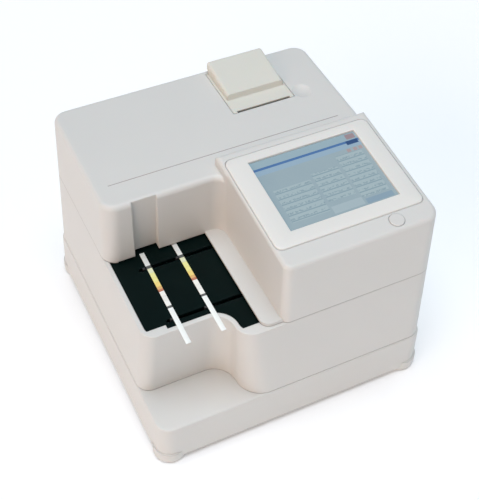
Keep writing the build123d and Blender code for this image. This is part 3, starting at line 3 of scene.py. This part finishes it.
import bpy
from mathutils import Euler, Matrix, Vector


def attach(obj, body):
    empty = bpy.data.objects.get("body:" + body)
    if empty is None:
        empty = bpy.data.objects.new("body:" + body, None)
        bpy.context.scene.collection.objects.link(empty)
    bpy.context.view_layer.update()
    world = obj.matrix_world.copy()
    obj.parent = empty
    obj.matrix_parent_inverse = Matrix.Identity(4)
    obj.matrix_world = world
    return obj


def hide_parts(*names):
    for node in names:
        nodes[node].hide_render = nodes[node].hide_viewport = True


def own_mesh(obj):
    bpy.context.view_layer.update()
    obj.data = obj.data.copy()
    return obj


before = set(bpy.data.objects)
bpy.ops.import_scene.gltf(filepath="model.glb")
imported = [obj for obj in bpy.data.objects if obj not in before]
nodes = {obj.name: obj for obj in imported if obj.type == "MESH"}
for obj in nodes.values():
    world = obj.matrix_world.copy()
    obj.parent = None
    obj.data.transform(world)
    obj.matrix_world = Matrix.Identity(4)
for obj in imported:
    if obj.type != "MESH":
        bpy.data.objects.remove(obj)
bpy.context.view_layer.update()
bpy.ops.object.select_all(action="DESELECT")

# the scene is in metres, and the sizes below are in millimetres
MM = 0.001

# ---------------------------------------------------------------- sizes as the CAD has them
ROOF_HEIGHT = 225.0
# heights of the joints between the three housings
SEAM_HEIGHTS = (54.0, 151.5)
# the screen block's top, and y and z of its front edge
SCREEN_SLOPE = radians(4.7)
SCREEN_LEVEL = (-146.0, 223.5)
# the strips lie with their rear ends in the unit and rise by 1 mm over the 93.5 mm to the front rim
STRIP_REAR = -6.5
STRIP_LENGTH = 117.0
STRIP_LEAN = atan2(1.0, 93.5)
STRIP_UNDERSIDE = 150.65
STRIP_THICKNESS = 0.35
# y and z of the paper roll's axis
ROLL_AXIS = (103.0, 199.5)

# ---------------------------------------------------------------- sizes of the scene alone
# the opening round the picture, which fits the photograph better than the CAD's 115.2 by 86.4 mm
LCD_CENTRE = (58.9, -57.2)
LCD_SIZE = (112.4, 87.0)


# ---------------------------------------------------------------- helpers
def linear(code):
    """An sRGB hex colour as linear RGBA."""
    parts = [int(code[i:i + 2], 16) / 255 for i in (1, 3, 5)]
    return [p / 12.92 if p <= 0.04045 else ((p + 0.055) / 1.055) ** 2.4 for p in parts] + [1.0]


def node(tree, kind, inputs=None, **settings):
    """Adds a node, sets its properties, and sets or links its inputs."""
    made = tree.nodes.new(kind)
    for name, value in settings.items():
        setattr(made, name, value)
    for name, value in (inputs or {}).items():
        if isinstance(value, bpy.types.NodeSocket):
            tree.links.new(value, made.inputs[name])
        else:
            made.inputs[name].default_value = value
    return made


def finish(name, colours, cloud_mm, grain_mm, depth_mm, rough, edge_mm=0.0, **sockets):
    """A surface of two near colours in soft clouds, with a fine grain in its gloss and its height.

    The clouds and the grain have their sizes in mm, depth_mm is the grain's height, rough the span of
    the roughness, and edge_mm the radius that softens edges. What follows goes to the shader's sockets.
    """
    made = bpy.data.materials.new(name)
    made.use_nodes = True
    tree = made.node_tree
    tree.nodes.clear()
    place = node(tree, "ShaderNodeTexCoord").outputs["Object"]
    cloud = node(tree, "ShaderNodeTexNoise", {"Vector": place, "Scale": 1 / (cloud_mm * MM), "Detail": 3.0})
    grain = node(tree, "ShaderNodeTexNoise", {"Vector": place, "Scale": 1 / (grain_mm * MM), "Detail": 4.0})
    colour = node(
        tree, "ShaderNodeMix",
        {"Factor": cloud.outputs["Fac"], "A": linear(colours[0]), "B": linear(colours[1])},
        data_type="RGBA", label="colour",
    )
    gloss = node(
        tree, "ShaderNodeMapRange",
        {"Value": grain.outputs["Fac"], "To Min": rough[0], "To Max": rough[1]},
    )
    relief = node(
        tree, "ShaderNodeBump",
        {"Height": grain.outputs["Fac"], "Distance": depth_mm * MM, "Strength": 1.0},
    )
    if edge_mm:
        edges = node(tree, "ShaderNodeBevel", {"Radius": edge_mm * MM}, samples=6)
        tree.links.new(edges.outputs["Normal"], relief.inputs["Normal"])
    shader = node(
        tree, "ShaderNodeBsdfPrincipled",
        {"Base Color": colour.outputs["Result"], "Roughness": gloss.outputs["Result"],
         "Normal": relief.outputs["Normal"]},
    )
    for socket, value in sockets.items():
        shader.inputs[socket.replace("_", " ")].default_value = value
    node(tree, "ShaderNodeOutputMaterial", {"Surface": shader.outputs["BSDF"]})
    return made


def parts_of(made):
    """The tree, the coordinates, the colour mix and the shader of a finish."""
    tree = made.node_tree
    place = next(n for n in tree.nodes if n.type == "TEX_COORD").outputs["Object"]
    colour = next(n for n in tree.nodes if n.label == "colour")
    shader = next(n for n in tree.nodes if n.type == "BSDF_PRINCIPLED")
    return tree, place, colour, shader


def dress(made, *names):
    """Gives CAD nodes a material."""
    for name in names:
        slots = nodes[name].data.materials
        if not slots:
            slots.append(made)
        for i in range(len(slots)):
            slots[i] = made


# ---------------------------------------------------------------- plastics
# what the opaque ABS mouldings share: their refraction, and light that goes 1.5 mm into them
OPAQUE_ABS = {"IOR": 1.54, "Subsurface_Weight": 0.05, "Subsurface_Scale": 1.5 * MM}

# injection moulded ABS, off-white: spark-eroded grain of 0.15 mm, drawn at 0.5 mm so that it shows,
# uneven satin gloss, edges softened by the tool
housing_abs = finish(
    "moulded_off_white_abs", ("#d7d5d1", "#d2d1cd"), 70.0, 0.5, 0.012, (0.4, 0.52), 1.5, **OPAQUE_ABS,
)
# the same ABS on the drawer's smaller front: tighter clouds, and sharper edges along its gap
drawer_abs = finish(
    "moulded_drawer_abs", ("#d6d4d0", "#d1d0cc"), 40.0, 0.5, 0.012, (0.4, 0.52), 0.5, **OPAQUE_ABS,
)
# whiter ABS of the screen's frame: smoother tool, a brighter sheen
bezel_abs = finish(
    "satin_white_abs", ("#e3e1dc", "#dfddd8"), 40.0, 0.6, 0.006, (0.3, 0.38), 0.4, **OPAQUE_ABS,
)
# warm ivory ABS of the printer's cover: glossier than the housing, with edges that fall away softly
cover_abs = finish(
    "moulded_ivory_abs", ("#dbd9d0", "#d7d5ca"), 30.0, 0.5, 0.01, (0.32, 0.42), 2.2,
    IOR=1.54, Subsurface_Weight=0.08, Subsurface_Scale=1.5 * MM,
)
# polished white ABS of the key
button_abs = finish(
    "polished_white_abs", ("#d9d7d3", "#d4d2ce"), 10.0, 0.6, 0.004, (0.22, 0.3), 0.3, IOR=1.54,
)
# black polycarbonate of the strip table: satin, with a blue-green cast
black_tray = finish(
    "black_polycarbonate", ("#020d0c", "#041615"), 25.0, 0.5, 0.01, (0.28, 0.4), 0.3,
    IOR=1.58, Specular_IOR_Level=0.06,
)
# glass-filled nylon: dull black with paler fibre flecks
nylon = finish(
    "glass_filled_nylon", ("#18191b", "#2b2c2e"), 0.9, 0.5, 0.02, (0.45, 0.65), 0.2, IOR=1.53,
)
# natural acetal of the gears: waxy white
acetal = finish(
    "natural_acetal", ("#e6e6e0", "#d9d9d1"), 5.0, 0.6, 0.004, (0.38, 0.46),
    IOR=1.48, Subsurface_Weight=0.2, Subsurface_Scale=MM,
)
# white calibration ceramic: flat and evenly matt
ceramic = finish("matt_white_ceramic", ("#f2f2f0", "#ebebe9"), 3.0, 0.4, 0.003, (0.3, 0.36), IOR=1.6)


def seam_shadow():
    """Painted shade in the joints between the three housings draws them as fine grey lines."""
    # the painted shade is at its strongest up to core from the line's middle, and gone at reach
    core, reach, strongest, painted_shade_grey = 0.2, 0.4, 0.85, linear("#8d8a84")
    # the painted line lies on the lower edge of the upper housing, so that ledge and rim stay unshaded
    lift = 1.1 * reach
    tree, place, colour, shader = parts_of(housing_abs)
    height = node(tree, "ShaderNodeSeparateXYZ", {"Vector": place}).outputs["Z"]
    shown = colour.outputs["Result"]
    for seam in SEAM_HEIGHTS:
        middle = (seam + lift) * MM
        away = node(tree, "ShaderNodeMath", {0: height, 1: middle}, operation="SUBTRACT").outputs[0]
        away = node(tree, "ShaderNodeMath", {0: away}, operation="ABSOLUTE").outputs[0]
        # how much painted shade darkens the housing colour at this height
        painted_shade = node(
            tree, "ShaderNodeMapRange",
            {"Value": away, "From Min": core * MM, "From Max": reach * MM,
             "To Min": strongest, "To Max": 0.0},
        ).outputs["Result"]
        shown = node(
            tree, "ShaderNodeMix", {"Factor": painted_shade, "A": shown, "B": painted_shade_grey}, data_type="RGBA"
        ).outputs["Result"]
    tree.links.new(shown, shader.inputs["Base Color"])


seam_shadow()

# ---------------------------------------------------------------- metals, rubber, glass and boards
# zinc-plated sheet steel: pale with a faint spangle of 6 mm
zinc = finish(
    "zinc_plated_sheet_steel", ("#b2b6b9", "#ced1d2"), 6.0, 1.2, 0.004, (0.28, 0.42), Metallic=1.0,
)
# ground shaft steel: bright, with fine marks
steel = finish("ground_shaft_steel", ("#c8cacc", "#dfe1e2"), 2.0, 0.5, 0.003, (0.12, 0.24), Metallic=1.0)
# turned aluminium of the pulleys: soft grey shine
aluminium = finish("turned_aluminium", ("#c3c6c9", "#d5d7d9"), 2.0, 0.5, 0.005, (0.25, 0.38), Metallic=1.0)
# stoved black lacquer of the motor cans: slight orange peel of 1.5 mm
lacquer = finish("stoved_black_lacquer", ("#141517", "#1f2022"), 20.0, 1.5, 0.02, (0.3, 0.4), IOR=1.5)
# nitrile rubber: matt with a dusty bloom
rubber = finish("black_nitrile_rubber", ("#141414", "#232323"), 4.0, 0.5, 0.03, (0.75, 0.9), IOR=1.52)
foot_rubber = finish("grey_foot_rubber", ("#797c7e", "#888b8d"), 4.0, 0.5, 0.03, (0.75, 0.9), IOR=1.52)
# coated lens glass: dark with a blue reflection
lens = finish(
    "coated_lens_glass", ("#141b26", "#202c46"), 6.0, 2.0, 0.0005, (0.03, 0.06), IOR=1.52, Coat_Weight=0.8,
)
# cardboard of the paper's core: grey-brown fibre
cardboard = finish("wound_cardboard", ("#9c8465", "#85704f"), 1.0, 0.5, 0.03, (0.8, 0.95), IOR=1.45)


def solder_mask():
    """Green solder mask over copper tracks 3.5 mm apart, on fibreglass."""
    dark, pale, over_copper = "#14532f", "#1a6338", "#2f8a55"
    made = finish("green_solder_mask", (dark, pale), 8.0, 0.8, 0.01, (0.3, 0.42), IOR=1.5)
    tree, place, colour, shader = parts_of(made)
    # the bricks are four rows to the scale, and the mortar between them is the copper
    tracks = node(
        tree, "ShaderNodeTexBrick",
        {"Vector": place, "Scale": 1 / (4 * 3.5 * MM), "Color1": linear(dark), "Color2": linear(pale),
         "Mortar": linear(over_copper), "Mortar Size": 0.03},
    )
    tree.links.new(tracks.outputs["Color"], colour.inputs["B"])
    return made


def thermal_paper():
    """Thermal paper wound tight: its end faces show rings, which are drawn 5 mm apart so that they show."""
    made = finish("wound_thermal_paper", ("#f3f3f0", "#dcdcd6"), 15.0, 0.6, 0.006, (0.6, 0.75), IOR=1.47)
    tree, place, colour, shader = parts_of(made)
    axis_y, axis_z = ROLL_AXIS
    centred = node(
        tree, "ShaderNodeMapping", {"Vector": place, "Location": (0, -axis_y * MM, -axis_z * MM)}
    )
    # a wave texture draws about 3.2 rings to its scale
    rings = node(
        tree, "ShaderNodeTexWave",
        {"Vector": centred.outputs["Vector"], "Scale": 1 / (16 * MM), "Distortion": 0.6},
        wave_type="RINGS", rings_direction="X",
    )
    tree.links.new(rings.outputs["Fac"], colour.inputs["Factor"])
    return made


def strip_finish(name, grain_mm, depth_mm, rough):
    """A test strip's film or paper, with its colours in bands along the strip."""
    made = finish(name, ("#ffffff", "#ffffff"), 2.0, grain_mm, depth_mm, rough, IOR=1.5)
    tree, place, colour, shader = parts_of(made)
    along = node(tree, "ShaderNodeSeparateXYZ", {"Vector": place})
    front = STRIP_REAR - STRIP_LENGTH
    share = node(
        tree, "ShaderNodeMapRange",
        {"Value": along.outputs["Y"], "From Min": STRIP_REAR * MM, "From Max": front * MM},
    )
    # colours from the strip's rear end: where each band starts in mm, and its colour
    bands = (
        (0.0, "#e2e5e1"), (17.0, "#2c3331"), (21.0, "#dde0b8"), (27.1, "#e4e08c"), (33.2, "#e6de83"),
        (39.4, "#e9cf6a"), (45.5, "#d9a95a"), (48.6, "#b5663c"), (51.6, "#ecebe3"), (57.8, "#e5e5de"),
        (63.9, "#eeeee8"), (70.0, "#232827"), (73.0, "#ecefeb"),
    )
    ramp = node(tree, "ShaderNodeValToRGB", {"Fac": share.outputs["Result"]})
    ramp.color_ramp.interpolation = "CONSTANT"
    for start, shown in bands:
        stops = ramp.color_ramp.elements
        stop = stops[0] if start == 0 else stops.new(start / STRIP_LENGTH)
        stop.color = linear(shown)
    # the stop that a new ramp has at its end goes
    ramp.color_ramp.elements.remove(ramp.color_ramp.elements[-1])
    tree.links.new(ramp.outputs["Color"], colour.inputs["A"])
    # white fibres of 0.4 mm pale the bands by up to 16 %
    fibres = node(tree, "ShaderNodeTexNoise", {"Vector": place, "Scale": 1 / (0.4 * MM), "Detail": 4.0})
    pale = node(
        tree, "ShaderNodeMapRange", {"Value": fibres.outputs["Fac"], "To Min": 0.0, "To Max": 0.16}
    )
    tree.links.new(pale.outputs["Result"], colour.inputs["Factor"])
    return made


def display_face():
    """A backlit liquid crystal display under a satin touch film, with a plain page of lists."""
    made = finish("display_under_touch_film", ("#98a8ac", "#8a9da6"), 45.0, 0.8, 0.002, (0.22, 0.3), IOR=1.5)
    tree, place, colour, shader = parts_of(made)
    split = node(tree, "ShaderNodeSeparateXYZ", {"Vector": place})
    half = (LCD_SIZE[0] / 2, LCD_SIZE[1] / 2 * cos(SCREEN_SLOPE))
    across, up = (
        node(
            tree, "ShaderNodeMapRange",
            {"Value": split.outputs["XY"[i]], "From Min": (LCD_CENTRE[i] - half[i]) * MM,
             "From Max": (LCD_CENTRE[i] + half[i]) * MM},
        ).outputs["Result"]
        for i in (0, 1)
    )
    # flecks of 2.4 mm break the marks up, and the lists' rows repeat by a share of the picture's height
    flecks = node(tree, "ShaderNodeTexNoise", {"Vector": place, "Scale": 1 / (2.4 * MM), "Detail": 1.0})
    row_pitch = 0.078
    rows = node(tree, "ShaderNodeMath", {0: up, 1: row_pitch}, operation="MODULO").outputs[0]

    # each area: left, right, low and high as shares of the picture, its colour, how strongly it covers,
    # and what it is cut to: nothing, the line under each row, or the marks in each row
    areas = [
        (0.0, 1.0, 0.9, 1.0, "#8fa5ae", 1.0, "plain"),
        (0.0, 1.0, 0.868, 0.9, "#3b669b", 0.9, "plain"),
        (0.0, 1.0, 0.8, 0.868, "#8aa6bd", 0.6, "plain"),
        (0.9, 0.985, 0.915, 0.985, "#95777a", 0.8, "plain"),
        (0.875, 0.985, 0.84, 0.895, "#2c4a75", 1.0, "plain"),
        (0.42, 0.7, 0.04, 0.14, "#a9b8bc", 0.45, "plain"),
        (0.72, 0.97, 0.03, 0.1, "#7f96a6", 0.8, "plain"),
    ]
    areas += [(x, x + 0.035, 0.745, 0.79, "#a98a87", 0.7, "plain") for x in (0.84, 0.9, 0.95)]
    lists = ((0.06, 0.4, 0.1, 0.56), (0.43, 0.68, 0.2, 0.62), (0.71, 0.96, 0.12, 0.74))
    for edges in lists:
        areas += [
            (*edges, "#a3b4b6", 0.55, "plain"),
            (*edges, "#627d8c", 0.5, "line"),
            (*edges, "#647d8b", 0.45, "marks"),
        ]
    # middle and half height of a row's line and marks, as shares of the row
    cuts = {"line": (0.5, 0.09), "marks": (0.82, 0.16)}
    picture = colour.outputs["Result"]
    for left, right, low, high, shown, cover, cut in areas:
        tests = [
            (across, (left + right) / 2, (right - left) / 2),
            (up, (low + high) / 2, (high - low) / 2),
        ]
        if cut in cuts:
            tests.append((rows, cuts[cut][0] * row_pitch, cuts[cut][1] * row_pitch))
        if cut == "marks":
            tests.append((flecks.outputs["Fac"], 0.6, 0.09))
        mask = cover
        for value, middle, reach in tests:
            near = node(tree, "ShaderNodeMath", {0: value, 1: middle, 2: reach}, operation="COMPARE")
            mask = node(
                tree, "ShaderNodeMath", {0: near.outputs[0], 1: mask}, operation="MULTIPLY"
            ).outputs[0]
        picture = node(
            tree, "ShaderNodeMix", {"Factor": mask, "A": picture, "B": linear(shown)}, data_type="RGBA"
        ).outputs["Result"]
    tree.links.new(picture, shader.inputs["Base Color"])
    tree.links.new(picture, shader.inputs["Emission Color"])
    shader.inputs["Emission Strength"].default_value = 0.1
    return made


# printed film: smooth with a soft shine, and absorbent paper: matt with a rough nap
strip_film = strip_finish("white_polystyrene_film", 0.8, 0.002, (0.3, 0.4))
strip_paper = strip_finish("reagent_filter_paper", 0.35, 0.03, (0.85, 0.95))
green_board = solder_mask()
picture_glass = display_face()

dress(housing_abs, "base_housing", "middle_housing", "top_housing")
dress(drawer_abs, "drawer_front")
dress(cover_abs, "printer_cover")
dress(button_abs, "standby_button")
dress(black_tray, "strip_table")
dress(picture_glass, "touch_panel", "lcd_module")
dress(nylon, "transport_carriage", "read_head", "power_inlet", "switch_frame", "power_rocker")
dress(nylon, "paper_bay", "print_head", "waste_bin", "roll_spindle")
dress(zinc, "chassis_plate", "transport_frame", "head_frame", "power_supply", "drawer_runners")
dress(zinc, "printer_frame", "rear_panel")
dress(steel, "guide_rods", "motor_shaft", "idler_shaft", "head_rod", "head_screw", "cover_hinge_pin")
dress(steel, "tear_bar", "platen_axle", "chassis_screws", "housing_screws", "button_spring")
dress(steel, "serial_port", "network_port")
dress(lacquer, "transport_motor", "head_motor", "printer_motor")
dress(aluminium, "motor_pulley", "idler_pulley")
dress(rubber, "transport_belt", "platen_sleeve")
dress(foot_rubber, "foot_pads")
dress(acetal, "platen_gear", "printer_pinion")
dress(lens, "head_lens")
dress(ceramic, "reference_tile")
dress(green_board, "main_board", "display_board", "button_board")
dress(thermal_paper(), "paper_roll")
dress(cardboard, "roll_core")


# ---------------------------------------------------------------- modelled pieces
def settle(piece, name, made, body):
    """Names a finished piece, puts its place into its mesh and lets it ride on its body."""
    sharp_from = radians(35)
    bpy.ops.object.select_all(action="DESELECT")
    piece.select_set(True)
    bpy.context.view_layer.objects.active = piece
    bpy.ops.object.transform_apply(location=True, rotation=True, scale=True)
    bpy.ops.object.shade_smooth_by_angle(angle=sharp_from)
    piece.name = name
    piece.data.name = name
    piece.data.materials.clear()
    piece.data.materials.append(made)
    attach(piece, body)
    bpy.ops.object.select_all(action="DESELECT")
    return piece


def plate(centre, size, turn, radius):
    """A small plate: centre, size and the radius of its edges in mm, and its turn."""
    bpy.ops.object.select_all(action="DESELECT")
    bpy.ops.mesh.primitive_cube_add(size=1, location=Vector(centre) * MM, rotation=turn)
    made = bpy.context.object
    made.scale = Vector(size) * MM
    bpy.ops.object.transform_apply(location=False, rotation=False, scale=True)
    edge = made.modifiers.new("edge", "BEVEL")
    edge.width = radius * MM
    edge.segments = 2
    bpy.ops.object.modifier_apply(modifier="edge")
    return made


def joined(pieces):
    """Several pieces as one."""
    bpy.ops.object.select_all(action="DESELECT")
    for piece in pieces:
        piece.select_set(True)
    bpy.context.view_layer.objects.active = pieces[0]
    bpy.ops.object.join()
    return pieces[0]


def test_strip(label, x, yaw):
    """One test strip: a narrow film with its reagent pads in a row from its rear end, which lies at x."""
    width, edge_radius = 4.9, 0.1
    pad_width, pad_thickness, pad_radius, gap = 4.7, 0.3, 0.08, 0.5
    turn = Euler((-STRIP_LEAN, 0, yaw))
    rear = Vector((x, STRIP_REAR, STRIP_UNDERSIDE))

    def along(reach, lift):
        """A place on the strip, by its distance from the rear end and its height over the underside."""
        return rear + turn.to_matrix() @ Vector((0, -reach, lift))

    film_centre = along(STRIP_LENGTH / 2, STRIP_THICKNESS / 2)
    film = plate(film_centre, (width, STRIP_LENGTH, STRIP_THICKNESS), turn, edge_radius)
    settle(film, "strip_film_" + label, strip_film, "strip_carriage")
    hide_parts("test_strip_" + label)

    # three pads by the rear end, a dark gap, then the eight that change colour: for each group the
    # distance from the rear end at which it starts, its length and its number of pads
    groups = ((0.0, 17.0, 3), (21.0, 49.0, 8))
    spans = [
        (start + i * length / count, length / count)
        for start, length, count in groups for i in range(count)
    ]
    first_length = spans[0][1] - gap
    pads = []
    for start, length in spans:
        centre = along(start + length / 2, STRIP_THICKNESS + pad_thickness / 2)
        if not pads:
            pads.append(plate(centre, (pad_width, first_length, pad_thickness), turn, pad_radius))
            continue
        copy = pads[0].copy()
        copy.data = pads[0].data.copy()
        copy.location = centre * MM
        copy.scale[1] = (length - gap) / first_length
        bpy.context.scene.collection.objects.link(copy)
        pads.append(copy)
    row = settle(joined(pads), "reagent_pads_" + label, strip_paper, "strip_carriage")
    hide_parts("strip_pads")


# each strip's x and its small turn as the strip was laid down
test_strip("first", -104.2, -0.017)
test_strip("second", -71.2, -0.004)


def pick(piece, kind, test):
    """Selects the edges or faces of a piece whose corners, in mm, pass a test, and stays in edit mode."""
    bpy.ops.object.mode_set(mode="EDIT")
    bpy.ops.mesh.select_mode(type=kind)
    bpy.ops.mesh.select_all(action="DESELECT")
    bpy.ops.object.mode_set(mode="OBJECT")
    mesh = piece.data
    for part in mesh.polygons if kind == "FACE" else mesh.edges:
        part.select = test([mesh.vertices[i].co / MM for i in part.vertices])
    bpy.ops.object.mode_set(mode="EDIT")


def screen_frame():
    """The frame round the display: its rim falls away in a round edge, so that a groove shows about it."""
    centre_x, centre_y, width, height, thickness, proud = 57.5, -60.0, 151.0, 113.5, 2.5, 1.0
    # radii of the corners, the outer rim and the opening's lip, and how near a corner counts as at a place
    corner, rim, lip, slack = 7.0, 1.7, 0.9, 0.01
    half_x, half_y, half_z = width / 2, height / 2, thickness / 2
    # the opening, from the middle of the plate
    middle = Vector((LCD_CENTRE[0] - centre_x, (LCD_CENTRE[1] - centre_y) / cos(SCREEN_SLOPE), 0))
    reach_x, reach_y = LCD_SIZE[0] / 2, LCD_SIZE[1] / 2

    def in_opening(corners):
        places = [place - middle for place in corners]
        return all(abs(p.x) < reach_x + slack and abs(p.y) < reach_y + slack for p in places)

    def on_top(corners):
        return all(place.z > half_z - slack for place in corners)

    def on_rim(corners):
        inside = [(half_x - abs(place.x), half_y - abs(place.y)) for place in corners]
        return all(min(gaps) < slack or max(gaps) < corner for gaps in inside)

    level_y, level_z = SCREEN_LEVEL
    surface = Vector((centre_x, centre_y, level_z + (centre_y - level_y) * tan(SCREEN_SLOPE)))
    normal = Vector((0, -sin(SCREEN_SLOPE), cos(SCREEN_SLOPE)))
    bpy.ops.mesh.primitive_cube_add(size=1, location=(surface + normal * (proud - half_z)) * MM)
    frame_plate = bpy.context.object
    frame_plate.scale = Vector((width, height, thickness)) * MM
    bpy.ops.object.transform_apply(location=False, rotation=False, scale=True)
    frame_plate.rotation_euler = (SCREEN_SLOPE, 0, 0)
    # the four upright edges are rounded
    pick(frame_plate, "EDGE", lambda ends: abs(ends[0].z - ends[1].z) > half_z)
    bpy.ops.mesh.bevel(offset=corner * MM, segments=8, affect="EDGES")
    # cuts beside the opening on its four sides
    to_world = frame_plate.matrix_world
    across, along = Vector((1, 0, 0)), Vector((0, 1, 0))
    for direction, reach in ((across, reach_x), (across, -reach_x), (along, reach_y), (along, -reach_y)):
        bpy.ops.mesh.select_all(action="SELECT")
        bpy.ops.mesh.bisect(
            plane_co=to_world @ ((middle + direction * reach) * MM),
            plane_no=to_world.to_3x3() @ direction,
        )
    # the opening's two faces are taken out and its walls bridged
    pick(frame_plate, "FACE", in_opening)
    bpy.ops.mesh.delete(type="FACE")
    pick(frame_plate, "EDGE", in_opening)
    bpy.ops.mesh.bridge_edge_loops()
    # the rim and the opening's lip are rounded
    pick(frame_plate, "EDGE", lambda ends: on_top(ends) and on_rim(ends))
    bpy.ops.mesh.bevel(offset=rim * MM, segments=4, affect="EDGES")
    pick(frame_plate, "EDGE", lambda ends: on_top(ends) and in_opening(ends))
    bpy.ops.mesh.bevel(offset=lip * MM, segments=3, affect="EDGES")
    bpy.ops.object.mode_set(mode="OBJECT")
    made = settle(frame_plate, "display_frame", bezel_abs, "housing")
    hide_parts("screen_bezel")


screen_frame()


def return_spring():
    """The key's spring, with its doubled corners merged, as a piece of its own."""
    travel, merge_within = 1.2, 0.001
    bpy.ops.object.select_all(action="DESELECT")
    spring = nodes["button_spring"].copy()
    spring.data = nodes["button_spring"].data.copy()
    bpy.context.scene.collection.objects.link(spring)
    spring.select_set(True)
    bpy.context.view_layer.objects.active = spring
    bpy.ops.object.mode_set(mode="EDIT")
    bpy.ops.mesh.select_all(action="SELECT")
    bpy.ops.mesh.remove_doubles(threshold=merge_within * MM)
    bpy.ops.object.mode_set(mode="OBJECT")
    settle(spring, "key_return_spring", steel, "housing")
    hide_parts("button_spring")
    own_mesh(spring)


return_spring()


def pinstripe():
    """A hairline printed across the roof behind the screen block."""
    ink = finish("grey_pad_print_ink", ("#9a9c9c", "#a8908d"), 60.0, 0.5, 0.004, (0.45, 0.55), IOR=1.5)
    left, right, line_y, width, proud = -123.0, 118.0, 20.0, 0.8, 0.06
    centre = ((left + right) / 2, line_y, ROOF_HEIGHT + proud / 2)
    stripe = plate(centre, (right - left, width, proud), (0, 0, 0), proud / 4)
    settle(stripe, "roof_pinstripe", ink, "housing")


pinstripe()


def tear_teeth():
    """The paper slot's serrated tear bar: one tooth modelled, then copied along the slot."""
    slot_left, slot_right, edge_y, low, high = 30.0, 88.0, 63.2, 222.3, 224.3
    # a tooth's width and depth, and how much of its width is left at its tip
    pitch, depth, tip_share = 1.6, 0.5, 0.08
    bpy.ops.object.select_all(action="DESELECT")
    centre = Vector((slot_left + pitch / 2, edge_y, (low + high) / 2))
    bpy.ops.mesh.primitive_cube_add(size=1, location=centre * MM)
    tooth = bpy.context.object
    tooth.scale = Vector((pitch, depth, high - low)) * MM
    bpy.ops.object.transform_apply(location=False, rotation=False, scale=True)
    # the upper end is drawn together into a point
    pick(tooth, "FACE", lambda corners: all(place.z > 0 for place in corners))
    bpy.ops.transform.resize(value=(tip_share, 1, 1))
    bpy.ops.object.mode_set(mode="OBJECT")
    row = tooth.modifiers.new("row", "ARRAY")
    row.use_relative_offset = False
    row.use_constant_offset = True
    row.constant_offset_displace = (pitch * MM, 0, 0)
    row.count = int((slot_right - slot_left) / pitch)
    bpy.ops.object.modifier_apply(modifier="row")
    settle(tooth, "tear_bar_teeth", steel, "housing")


tear_teeth()


# ---------------------------------------------------------------- room, light and camera
def lamp(name, kind, spot, aim, power, colour, **settings):
    """A light at a spot, turned to where it aims."""
    data = bpy.data.lights.new(name, kind)
    data.energy = power
    data.color = linear(colour)[:3]
    for setting, value in settings.items():
        setattr(data, setting, value)
    made = bpy.data.objects.new(name, data)
    made.location = spot
    made.rotation_euler = (Vector(aim) - Vector(spot)).to_track_quat("-Z", "Y").to_euler()
    bpy.context.scene.collection.objects.link(made)


def studio():
    """A pale seamless floor, cool soft light from above and a warmer one from the left front."""
    # metres, so wide that no low view shows its edge
    floor_size = 80
    bpy.ops.mesh.primitive_plane_add(size=floor_size, location=(0, 0, 0))
    floor = bpy.context.object
    floor.name = "studio_floor"
    paper = finish(
        "backlit_white_acrylic", ("#ffffff", "#fcfcfc"), 400.0, 1.0, 0.001, (0.9, 0.95),
        Emission_Color=(1, 1, 1, 1), Emission_Strength=0.06,
    )
    floor.data.materials.append(paper)
    world = bpy.data.worlds.new("studio_white")
    world.use_nodes = True
    sky = world.node_tree.nodes["Background"]
    sky.inputs["Color"].default_value = linear("#f2f8ff")
    sky.inputs["Strength"].default_value = 0.33
    bpy.context.scene.world = world
    # two broad far-off lights, softened over a wide angle, that aim at the middle of the unit
    unit, wide = (0, 0, 0.1), radians(50)
    lamp("overhead_panel", "SUN", (-0.03, -0.02, 1.0), unit, 2.0, "#ebf6ff", angle=wide)
    lamp("left_window", "SUN", (-1.0, -0.45, 0.38), unit, 1.32, "#ffd8ba", angle=wide)
    # a soft spot over the front of the unit lifts its rims, rail and ledge
    lamp(
        "front_spot", "SPOT", (-0.1, -0.22, 1.35), (-0.03, -0.14, 0.1), 10.0, "#fff1ea",
        spot_size=radians(22), spot_blend=1.0, shadow_soft_size=0.25,
    )
    bpy.context.scene.view_settings.view_transform = "Standard"


def camera():
    """The camera at the photograph's viewing angle, fitted to the housing's edges."""
    # radians: round the unit to the left, above the floor, and about the line of sight
    azimuth, elevation, roll = 0.477, 0.845, 0.039
    focal_px, image_height, sensor_mm = 1027.4, 500, 36.0
    spot = Vector((-318.4, -625.0, 891.3)) * MM
    back = Vector((-sin(azimuth) * cos(elevation), -cos(azimuth) * cos(elevation), sin(elevation)))
    right = (-back).cross(Vector((0, 0, 1))).normalized()
    up = right.cross(-back)
    turned_right = right * cos(roll) + up * sin(roll)
    turned_up = up * cos(roll) - right * sin(roll)
    data = bpy.data.cameras.new("photo_camera")
    data.sensor_width = sensor_mm
    data.lens = focal_px * sensor_mm / image_height
    data.clip_start = 0.05
    seen = bpy.data.objects.new("photo_camera", data)
    axes = Matrix((turned_right, turned_up, back)).transposed().to_4x4()
    seen.matrix_world = Matrix.Translation(spot) @ axes
    bpy.context.scene.collection.objects.link(seen)
    bpy.context.scene.camera = seen


studio()
camera()
